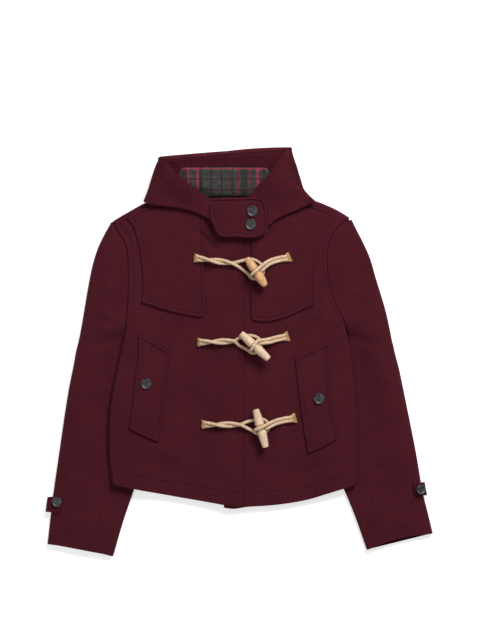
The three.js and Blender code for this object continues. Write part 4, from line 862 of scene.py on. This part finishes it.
ROPE = 6.2
TWIST = 6.5
WOOD = {"diameter": 18, "tip": 11.5, "groove": 12.6, "groove_width": 11, "height": 16.4}
Toggle = namedtuple("Toggle", "upper lower loop part cord bow turns eye")
TOGGLES = [
    Toggle(
        (22, 175), (57.5, 122), (-69, 174), (-6, 165), (98, 175), 6, 1.5,
        [(-13, 33), (-5, 30), (5, 25.5), (12, 17), (15.5, 6), (14, -3.5), (8, -9.5), (0, -10.5), (-8, -9.5),
         (-13, -4), (-14, 5), (-17.5, 16), (-21.5, 26)],
    ),
    Toggle(
        (11.5, 35.5), (63, -12), (-63, 19), (-1, 21), (95, 29), 2, 1.5,
        [(-10, 31.5), (2, 25.5), (9.5, 18.5), (14.5, 8), (14, -3), (8, -9.5), (0, -10.5), (-8, -9.5),
         (-13, -4), (-14, 4), (-15.5, 12), (-18.5, 22)],
    ),
    Toggle(
        (39, -104.5), (57.5, -174.5), (-55, -133), (10, -133), (108, -122), 2.5, 1.5,
        [(-19.5, 17.8), (-10, 17.4), (0, 16.5), (8.6, 14), (14, 7.5), (14.6, 0), (12, -7), (4.5, -10.5),
         (-4, -10.2), (-10.5, -7), (-16, -1), (-23, 5)],
    ),
]
END = {"length": 9, "loop_width": 17, "cord_width": 19, "thickness": 6.6}


COAT_TOP = tree_of("front_right", "front_left", "yoke_right", "yoke_left", "pocket_flap_right", "pocket_flap_left")


def top_height(x, y):
    """Height of the coat's top cloth in mm at a pattern point, before creases."""
    hit = COAT_TOP.ray_cast(shifted(x, y, 200), Vector((0, 0, -1)))
    return hit[0].z / MM if hit[0] else 0.0


def highest(x, y, reach):
    around = ((0, 0), (reach, 0), (-reach, 0), (0, reach), (0, -reach))
    return max(top_height(x + dx, y + dy) for dx, dy in around)


def ground(x, y):
    """Height of a cord's middle where it lies on the coat."""
    return max(highest(x, y, 7), highest(x, y, 12)) + ROPE / 2 + 0.5


LOBES = 3
LAY_PITCH = 11
LOBE_DEPTH = 0.16
AROUND = 24


def rope_mesh(name, points):
    """A three-strand twisted cord along a path of pattern points in mm."""
    length = sum((b - a).length for a, b in zip(points, points[1:]))
    count = max(12, int(length / 0.62))
    path = smooth_path(points, count)
    tangents = [(path[min(i + 1, count - 1)] - path[max(i - 1, 0)]).normalized() for i in range(count)]
    side = tangents[0].cross(Vector((0, 0, 1))).normalized()
    vertices, faces, along, around, valley_shade = [], [], [], [], []
    for i, (centre, tangent) in enumerate(zip(path, tangents)):
        side = (side - tangent * side.dot(tangent)).normalized()
        up = tangent.cross(side)
        travelled = length * i / (count - 1)
        turn = 2 * math.pi * travelled / LAY_PITCH
        swell = 1 + 0.05 * math.sin(travelled * 0.9) + 0.03 * math.sin(travelled * 2.3 + 1)
        for k in range(AROUND):
            angle = 2 * math.pi * k / AROUND
            lobe = abs(math.cos((angle - turn) * LOBES / 2))
            radius = ROPE / 2 * swell * (1 - LOBE_DEPTH * 1.5 + LOBE_DEPTH * 1.6 * lobe)
            vertices.append(shifted(*(centre + side * radius * math.cos(angle) + up * radius * math.sin(angle))))
            along.append(travelled)
            around.append((angle - turn) % (2 * math.pi))
            # How deep in the groove between two strands a point lies; the jute paints shade there.
            valley_shade.append(max(0.0, 1 - lobe * 2.2))
    for i in range(count - 1):
        for k in range(AROUND):
            n = (k + 1) % AROUND
            faces.append([i * AROUND + k, i * AROUND + n, (i + 1) * AROUND + n, (i + 1) * AROUND + k])
    faces.append(list(range(AROUND))[::-1])
    faces.append([(count - 1) * AROUND + k for k in range(AROUND)])
    return {"vertices": vertices, "faces": faces, "along": along, "around": around, "valley_shade": valley_shade}


def strand_mesh(path, radii, sides=5):
    """A thin tapering tube along pattern points in mm."""
    vertices, faces = [], []
    side = Vector((0.3, 0.2, 1))
    for i, (centre, radius) in enumerate(zip(path, radii)):
        tangent = (path[min(i + 1, len(path) - 1)] - path[max(i - 1, 0)]).normalized()
        side = (side - tangent * side.dot(tangent)).normalized()
        up = tangent.cross(side)
        for k in range(sides):
            angle = 2 * math.pi * k / sides
            vertices.append(shifted(*(centre + side * radius * math.cos(angle) + up * radius * math.sin(angle))))
    for i in range(len(path) - 1):
        for k in range(sides):
            n = (k + 1) % sides
            faces.append([i * sides + k, i * sides + n, (i + 1) * sides + n, (i + 1) * sides + k])
    faces.append(list(range(sides))[::-1])
    faces.append([(len(path) - 1) * sides + k for k in range(sides)])
    count = len(vertices)
    return {"vertices": vertices, "faces": faces, "along": [0.0] * count, "around": [0.0] * count, "valley_shade": [0.0] * count}


def joined_mesh(name, parts):
    vertices, faces = [], []
    values = {"along": [], "around": [], "valley_shade": []}
    for part in parts:
        start = len(vertices)
        vertices += part["vertices"]
        faces += [[start + i for i in face] for face in part["faces"]]
        for key in values:
            values[key] += part[key]
    mesh = mesh_from(name, vertices, faces)
    for key, numbers in values.items():
        add_attribute(mesh, key, numbers)
    set_coordinates(mesh, settle(coordinates(mesh)))
    return mesh


def sewn_end(centre, direction, width):
    """The flattened rope end: fibres side by side, spread at the outer end, with threads sewn across."""
    ahead = Vector((direction.x, direction.y, 0)).normalized()
    beside = Vector((-ahead.y, ahead.x, 0))
    bundles, threads = [], []
    count = 9
    for layer, height in ((0, 0.9), (1, 2.6)):
        for k in range(count - layer):
            share = (k + layer / 2) / (count - 1) - 0.5
            sideways = share * (width - 2.4)
            path = []
            for step in range(9):
                t = step / 8
                spread = mix(0.62, 1.0, soft((t - 0.25) / 0.6)) if t > 0.25 else 0.62
                reach = mix(-END["length"] / 2 - 2, END["length"] / 2 + random.uniform(-0.4, 1.2), t)
                wobble = random.uniform(-0.16, 0.16)
                droop = 0.9 * float(soft((t - 0.55) / 0.45))
                path.append(centre + ahead * reach + beside * (sideways * float(spread) + wobble)
                            + Vector((0, 0, height - 1.9 - droop * (0.5 + layer * 0.5))))
            bundles.append(strand_mesh(path, [mix(1.15, 0.7, step / 8) for step in range(9)], 8))
    for k in range(34):
        share = random.uniform(-0.5, 0.5)
        start = centre + ahead * (END["length"] / 2 - 1) + beside * share * (width - 2) + Vector((0, 0, random.uniform(-1.4, 0.6)))
        drift = Vector((0, 0, random.uniform(-0.8, 0.5)))
        tip = start + ahead * random.uniform(1.6, 3.6) + beside * (share * 2.2 + random.uniform(-0.8, 0.8)) + drift
        bend = (start + tip) / 2 + beside * random.uniform(-0.6, 0.6)
        bundles.append(strand_mesh(smooth_path([start, bend, tip], 5), [0.26, 0.24, 0.2, 0.15, 0.08], 4))
    for place in (-2.6, -0.9, 0.9, 2.4):
        row = []
        for step in range(15):
            angle = math.pi * step / 14
            row.append(centre + ahead * (place + 0.3 * math.sin(angle * 3)) + beside * (-(width * 0.40) * math.cos(angle))
                       + Vector((0, 0, -2.2 + 4.0 * math.sin(angle) ** 0.6)))
        threads.append(strand_mesh(row, [0.42] * 15, 6))
    return bundles, threads


def toggle_set(number, toggle):
    upper, lower = Vector((*toggle.upper, 0)), Vector((*toggle.lower, 0))
    middle = (upper + lower) / 2
    axis = (upper - lower).normalized()
    across = Vector((-axis.y, axis.x, 0)) * (-1 if axis.y > 0 else 1)
    base = highest(middle.x, middle.y, 22)
    axis_height = base + WOOD["height"]

    def spot(aside, along, z):
        p = middle + across * aside + axis * along
        return Vector((p.x, p.y, z))

    cord_end = Vector((*toggle.cord, 0))
    way = (cord_end - middle).normalized()
    beside = Vector((-way.y, way.x, 0))

    def strand(offset):
        points = []
        for share in (1, 0.72, 0.46):
            bend = toggle.bow * math.sin(math.pi * share)
            p = middle.lerp(cord_end, share) + beside * (offset + bend)
            points.append(Vector((p.x, p.y, max(ground(p.x, p.y), mix(axis_height, base + 3, share * 1.6 - 0.1)))))
        return points

    ring = WOOD["groove"] / 2 + ROPE / 2 + 0.8
    wrap = []
    for k, degrees in enumerate((20, 55, 90, 125, 160, 200, 235, 270, 305, 340)):
        angle = math.radians(degrees)
        wrap.append(spot(ring * math.cos(angle), mix(TWIST / 2, -TWIST / 2, k / 9), axis_height + ring * math.sin(angle)))
    cord_path = [*strand(TWIST / 2), *wrap, *strand(-TWIST / 2)[::-1]]

    start, part = Vector((*toggle.loop, 0)), Vector((*toggle.part, 0))
    forward = (part - start).normalized()
    aside = Vector((-forward.y, forward.x, 0))

    def twisted(phase):
        points = []
        for k in range(9):
            share = k / 8
            angle = math.radians(phase + 180 * toggle.turns * share)
            lying = 1 - float(soft((share - 0.02) / 0.12))
            sideways = mix(math.cos(angle), math.copysign(1, math.cos(angle)), lying)
            p = start.lerp(part, share) + aside * sideways * TWIST / 2
            rise = mix(TWIST / 2 + math.sin(angle) * TWIST / 2, 0, lying)
            points.append(Vector((p.x, p.y, ground(p.x, p.y) + rise)))
        return points

    eye = []
    for out, along in toggle.eye:
        p = spot(out, along, 0)
        eye.append(Vector((p.x, p.y, ground(p.x, p.y))))
    loop_path = [*twisted(0), *eye, *twisted(180)[::-1]]

    for kind, path, end, direction, width in (
        ("cord", cord_path, cord_end, way, END["cord_width"]),
        ("loop", loop_path, start, -forward, END["loop_width"]),
    ):
        node = f"toggle_{kind}_{number}"
        rope_piece = add_object(node + "_rope", joined_mesh(node, [rope_mesh(node, path)]), JUTE, "jute", node)
        centre = Vector((end.x, end.y, ground(end.x, end.y)))
        bundles, threads = sewn_end(centre, direction, width)
        add_object(node + "_end", joined_mesh(node + "_end", bundles), JUTE_END, "jute")
        add_object(node + "_threads", joined_mesh(node + "_threads", threads), TAN_THREAD, "jute")
        pieces[node] = rope_piece
    add_wood(number, middle, axis, (upper - lower).length, axis_height)


def settled_rise(x, y, z):
    """How far the creases move one point, in mm."""
    point = np.array([shifted(x, y, z)])
    return (settle(point)[0][2] - point[0][2]) / MM


def lathe(profile, segments):
    """Vertices and faces of (height along X, radius) pairs turned round local X, closed at both ends."""
    vertices, faces = [], []
    for position, radius in profile:
        for k in range(segments):
            angle = 2 * math.pi * k / segments
            vertices.append(Vector((position, radius * math.cos(angle), radius * math.sin(angle))) * MM)
    for i in range(len(profile) - 1):
        for k in range(segments):
            n = (k + 1) % segments
            faces.append([i * segments + k, (i + 1) * segments + k, (i + 1) * segments + n, i * segments + n])
    faces.append(list(range(segments)))
    faces.append([(len(profile) - 1) * segments + k for k in range(segments)][::-1])
    return vertices, faces


LOBE_TIP = 9.5
TIP_ROUND = 3.2


def wood_profile(length, pointed):
    """Half profile from one tip to the other. The first toggle has rounded lobes, the others are cut blunt."""
    half = length / 2
    big, groove, groove_half = WOOD["diameter"] / 2, WOOD["groove"] / 2, WOOD["groove_width"] / 2
    rows = []
    for step in range(81):
        x = mix(-half, half, step / 80)
        u = abs(x) / half
        if pointed:
            shrink = 1.0 if x < 0 else 0.92
            radius = mix(big * shrink, LOBE_TIP / 2, float(max(0.0, (u - 0.3) / 0.7) ** 1.7))
            radius *= max(0.0, 1 - max(0.0, 1 - (half - abs(x)) / TIP_ROUND) ** 2) ** 0.5
        else:
            radius = mix(big, WOOD["tip"] / 2, float(u**1.45))
            edge = half - abs(x)
            radius -= 0.9 * max(0.0, 1 - edge / 1.0) ** 2
        dip = float(soft((groove_half + 2.2 - abs(x)) / 3.4))
        radius = mix(radius, min(radius, groove), dip)
        rows.append((x, max(radius, 0.2)))
    return rows


def add_wood(number, middle, axis, length, height):
    profile = wood_profile(length, pointed=number == 1)
    if number != 1:
        tip_radius = profile[-1][1]
        caps = [(profile[-1][0] + d, tip_radius * r) for d, r in ((0.12, 0.86), (0.16, 0.5), (0.16, 0.12))]
        profile = [(-x, r) for x, r in reversed(caps)] + profile + caps
    mesh = mesh_from(f"toggle_{number}", *lathe(profile, 56))
    node = f"toggle_{number}"
    material, slot = (TAN_WOOD, "tan_wood") if number == 1 else (PALE_WOOD, "pale_wood")
    piece = bpy.data.objects.new(node + "_wood", mesh)
    bpy.context.scene.collection.objects.link(piece)
    rise = settled_rise(middle.x, middle.y, height)
    turn = Matrix.Rotation(math.atan2(axis.y, axis.x), 4, "Z")
    piece.matrix_world = Matrix.Translation(shifted(middle.x, middle.y, height + rise)) @ turn
    mesh.materials.append(material)
    for polygon in mesh.polygons:
        polygon.use_smooth = True
    mesh.set_sharp_from_angle(angle=math.radians(40))
    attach(piece, "root")
    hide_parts(node)
    pieces[node] = piece


for number, toggle in enumerate(TOGGLES, 1):
    toggle_set(number, toggle)

# Buttons

BUTTON = {"height": 3.4, "rim": 2.4, "dish": 1.0, "hole": 2.2, "spacing": 4.6}


def button_mesh(name, diameter):
    """A rimmed button with a dished face and four thread holes, its axis along local X."""
    r, h = diameter / 2, BUTTON["height"]
    inner = r - BUTTON["rim"]
    floor = h - BUTTON["dish"]
    shape = [(0, 0), (0.02, r * 0.5), (0, r - 1.2), (0.35, r - 0.35), (0.9, r - 0.05), (h - 1.2, r), (h - 0.6, r - 0.15)]
    shape += [(h - 0.15, r - 0.6), (h, r - 1.1), (h - 0.1, r - 1.7), (h - 0.5, inner), (floor + 0.1, inner - 0.8)]
    shape += [(floor, inner - 1.5), (floor + 0.12, inner * 0.45), (floor + 0.15, 0.3)]
    profile = [(x, max(radius, 0.15)) for x, radius in shape]
    profile = [tuple(p)[:2] for p in smooth_path([(x, radius, 0) for x, radius in profile], 60)]
    mesh = mesh_from(name, *lathe(profile, 56))
    body = bpy.data.objects.new(name + "_body", mesh)
    bpy.context.scene.collection.objects.link(body)
    cutters = []
    for sx, sy in ((1, 1), (-1, 1), (-1, -1), (1, -1)):
        ring = [(-2, BUTTON["hole"] / 2), (h + 2, BUTTON["hole"] / 2)]
        cutter = bpy.data.objects.new(name + "_hole", mesh_from(name + "_hole", *lathe(ring, 20)))
        bpy.context.scene.collection.objects.link(cutter)
        cutter.location = (0, sx * BUTTON["spacing"] / 2 * MM, sy * BUTTON["spacing"] / 2 * MM)
        cutters.append(cutter)
        modifier = body.modifiers.new("hole", "BOOLEAN")
        modifier.operation = "DIFFERENCE"
        modifier.solver = "EXACT"
        modifier.object = cutter
    cut = bpy.data.meshes.new_from_object(body.evaluated_get(bpy.context.evaluated_depsgraph_get()))
    for thing in (body, *cutters):
        bpy.data.objects.remove(thing)
    cut.name = name
    return cut


def add_button(node, turn):
    """Places a button on its node's axis: the node's own flat back gives its centre and tilt."""
    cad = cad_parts[node].data
    co = coordinates(cad)
    low, high = co.min(0), co.max(0)
    middle = Vector((low + high) / 2)
    spread = np.linalg.eigh(np.cov((co - co.mean(0)).T))
    normal = Vector(spread[1][:, 0])
    if normal.z < 0:
        normal = -normal
    diameter = 18.5 if node.startswith("cuff") else 20
    mesh = button_mesh(node, diameter)
    rise = settled_rise(middle.x / MM - SHIFT[0], middle.y / MM - SHIFT[1], middle.z / MM)
    side = Vector((1, 0, 0)).cross(normal).normalized()
    frame_of = Matrix((normal, normal.cross(side) * -1, side)).transposed().to_4x4()
    back = middle - normal * BUTTON["height"] / 2 * MM + Vector((0, 0, rise * MM))
    world = Matrix.Translation(back) @ frame_of @ Matrix.Rotation(math.radians(turn), 4, "X")
    piece = bpy.data.objects.new(node + "_disc", mesh)
    bpy.context.scene.collection.objects.link(piece)
    piece.matrix_world = world
    mesh.materials.append(HORN)
    for polygon in mesh.polygons:
        polygon.use_smooth = True
    mesh.set_sharp_from_angle(angle=math.radians(45))
    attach(piece, "root")
    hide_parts(node)
    pieces[node] = piece
    add_button_thread(node, world)


def add_button_thread(node, world):
    """Two bars of thread between the holes, going down through them."""
    vertices, faces = [], []
    reach = BUTTON["spacing"] / 2
    top = BUTTON["height"] - BUTTON["dish"] + 0.55
    for across in (-1, 1):
        for offset in (-0.32, 0.32):
            y = across * reach + offset
            points = [(0.6, y, -reach), (top - 0.4, y, -reach), (top, y, -reach + 0.7), (top + 0.1, y, 0), (top, y, reach - 0.7)]
            points += [(top - 0.4, y, reach), (0.6, y, reach)]
            path = smooth_path(points, 18)
            start = len(vertices)
            for i, centre in enumerate(path):
                tangent = (path[min(i + 1, 17)] - path[max(i - 1, 0)]).normalized()
                side = Vector((0, 1, 0))
                up = tangent.cross(side)
                for k in range(6):
                    angle = math.pi * k / 3
                    vertices.append(world @ ((centre + side * 0.36 * math.cos(angle) + up * 0.36 * math.sin(angle)) * MM))
            for i in range(17):
                for k in range(6):
                    n = (k + 1) % 6
                    faces.append([start + i * 6 + k, start + i * 6 + n, start + (i + 1) * 6 + n, start + (i + 1) * 6 + k])
            faces.append([start + k for k in range(6)][::-1])
            faces.append([start + 17 * 6 + k for k in range(6)])
    add_object(node + "_thread", mesh_from(node + "_thread", vertices, faces), DARK_THREAD, "button")


BUTTON_TURNS = {
    "pocket_button_right": 20,
    "pocket_button_left": 65,
    "tab_button_upper": 30,
    "tab_button_lower": 8,
    "cuff_button_right": 40,
    "cuff_button_left": 12,
}
for node, turn in BUTTON_TURNS.items():
    add_button(node, turn)

# Topstitching threads

STITCH = {"length": 3.0, "gap": 1.3, "radius": 0.3}


def surface_tree(piece):
    mesh = piece.data
    return BVHTree.FromPolygons([v.co for v in mesh.vertices], [list(p.vertices) for p in mesh.polygons])


def rim_loop(node, inset):
    """The piece's outline in plan, from its node's upper cut edge, moved inwards."""
    made = welded(node)
    edges = []
    for edge in made.edges:
        if len(edge.link_faces) != 2:
            continue
        a, b = edge.link_faces
        up, down = (a, b) if a.normal.z > b.normal.z else (b, a)
        if up.normal.z > 0.6 and down.normal.z < 0.45 and edge.calc_face_angle(0) > SHARP_ANGLE:
            edges.append(edge)
    linked = {}
    for edge in edges:
        for v in edge.verts:
            linked.setdefault(v, []).append(edge)
    start = edges[0].verts[0]
    loop, edge, vertex = [], edges[0], start
    while True:
        loop.append(Vector((vertex.co.x / MM - SHIFT[0], vertex.co.y / MM - SHIFT[1], 0)))
        vertex = edge.other_vert(vertex)
        if vertex is start:
            break
        edge = next(e for e in linked[vertex] if e is not edge)
    made.free()
    dense = []
    for a, b in zip(loop, loop[1:] + loop[:1]):
        steps = max(1, round((b - a).length / 1.5))
        dense += [a.lerp(b, k / steps) for k in range(steps)]
    area = sum(a.x * b.y - b.x * a.y for a, b in zip(dense, dense[1:] + dense[:1]))
    inwards = 1 if area > 0 else -1
    moved = []
    for k, p in enumerate(dense):
        tangent = (dense[(k + 1) % len(dense)] - dense[k - 1]).normalized()
        moved.append(p + Vector((-tangent.y, tangent.x, 0)) * inwards * inset)
    outline = dense + dense[:1]
    away = np.abs(line_distance(np.array([p.x for p in moved]), np.array([p.y for p in moved]), outline)[0])
    return [p for p, d in zip(moved, away) if d > inset - 0.35]


def stitch_mesh(name, tree, path, skip=lambda p: False):
    """Short thread capsules laid end to end on a surface along a path in plan."""
    vertices, faces = [], []
    lengths = np.concatenate([[0], np.cumsum([(b - a).length for a, b in zip(path, path[1:])])])
    pitch = STITCH["length"] + STITCH["gap"]

    def at(distance):
        x = np.interp(distance, lengths, [p.x for p in path])
        y = np.interp(distance, lengths, [p.y for p in path])
        hit = tree.ray_cast(shifted(x, y, 200), Vector((0, 0, -1)))
        return Vector((x, y, hit[0].z / MM)) if hit[0] else None

    for n in range(int(lengths[-1] / pitch)):
        begin = n * pitch + 0.6
        ends = at(begin), at(begin + STITCH["length"])
        if None in ends or skip(ends[0]) or (ends[1] - ends[0]).length > STITCH["length"] * 1.6:
            continue
        tangent = (ends[1] - ends[0]).normalized()
        side = tangent.cross(Vector((0, 0, 1))).normalized()
        up = side.cross(tangent)
        start = len(vertices)
        for share, size, sink in ((0, 0.25, -0.22), (0.12, 0.8, 0.0), (0.5, 1.0, 0.12), (0.88, 0.8, 0.0), (1, 0.25, -0.22)):
            centre = ends[0].lerp(ends[1], share) + up * sink
            for k in range(6):
                angle = math.pi * k / 3
                radius = STITCH["radius"] * size
                vertices.append(shifted(*(centre + side * radius * 1.15 * math.cos(angle) + up * radius * math.sin(angle))))
        for i in range(4):
            for k in range(6):
                n6 = (k + 1) % 6
                faces.append([start + i * 6 + k, start + i * 6 + n6, start + (i + 1) * 6 + n6, start + (i + 1) * 6 + k])
        faces.append([start + k for k in range(6)][::-1])
        faces.append([start + 24 + k for k in range(6)])
    return vertices, faces


def add_stitches(node, paths, skip=lambda p: False):
    tree = surface_tree(pieces[node])
    vertices, faces = [], []
    for path in paths:
        more, more_faces = stitch_mesh(node, tree, path, skip)
        start = len(vertices)
        vertices += more
        faces += [[start + i for i in face] for face in more_faces]
    add_object("stitches_" + node, mesh_from("stitches_" + node, vertices, faces), THREAD, "coat_cloth")


YOKE_TOP = {"yoke_right": 243, "yoke_left": 240}
for node in STITCH_PATHS:
    add_stitches(node, [path_in_plan(p) for p in STITCH_PATHS[node]])
for node, inset in INSET.items():
    if node.startswith("cuff"):
        continue
    outline = rim_loop(node, inset)
    limit = YOKE_TOP.get(node, 1e9)
    add_stitches(node, [outline + outline[:1]], skip=lambda p, limit=limit: p.y > limit)

# Floor and light


def add_floor():
    size = 6.0
    mesh = mesh_from("floor", [(-size, -size, 0), (size, -size, 0), (size, size, 0), (-size, size, 0)], [[0, 1, 2, 3]])
    mesh.materials.append(floor_paper("floor_paper"))
    floor = bpy.data.objects.new("floor", mesh)
    bpy.context.scene.collection.objects.link(floor)
    floor.location.z = -0.0004


def add_light(name, place, size, power, aim=(0, 0.05, 0)):
    data = bpy.data.lights.new(name, "AREA")
    data.shape = "DISK"
    data.size = size
    data.energy = power
    light = bpy.data.objects.new(name, data)
    bpy.context.scene.collection.objects.link(light)
    light.location = place
    light.rotation_euler = (Vector(aim) - Vector(place)).to_track_quat("-Z", "Y").to_euler()


def add_world(strength):
    world = bpy.data.worlds.new("studio")
    world.use_nodes = True
    background = world.node_tree.nodes["Background"]
    background.inputs["Color"].default_value = (1, 1, 1, 1)
    background.inputs["Strength"].default_value = strength
    bpy.context.scene.world = world


add_floor()
add_light("key", (1.3, 2.4, 2.7), 1.7, 142)
add_light("fill", (-1.4, -0.6, 2.4), 1.6, 14)
add_world(0.24)
bpy.context.scene.view_settings.view_transform = "Standard"

# A record for a sheet of cloth: the width and length of the rectangle it is cut from, its area, how it is held and what
# it rests on
Cut = namedtuple("Cut", "width length area held rests")
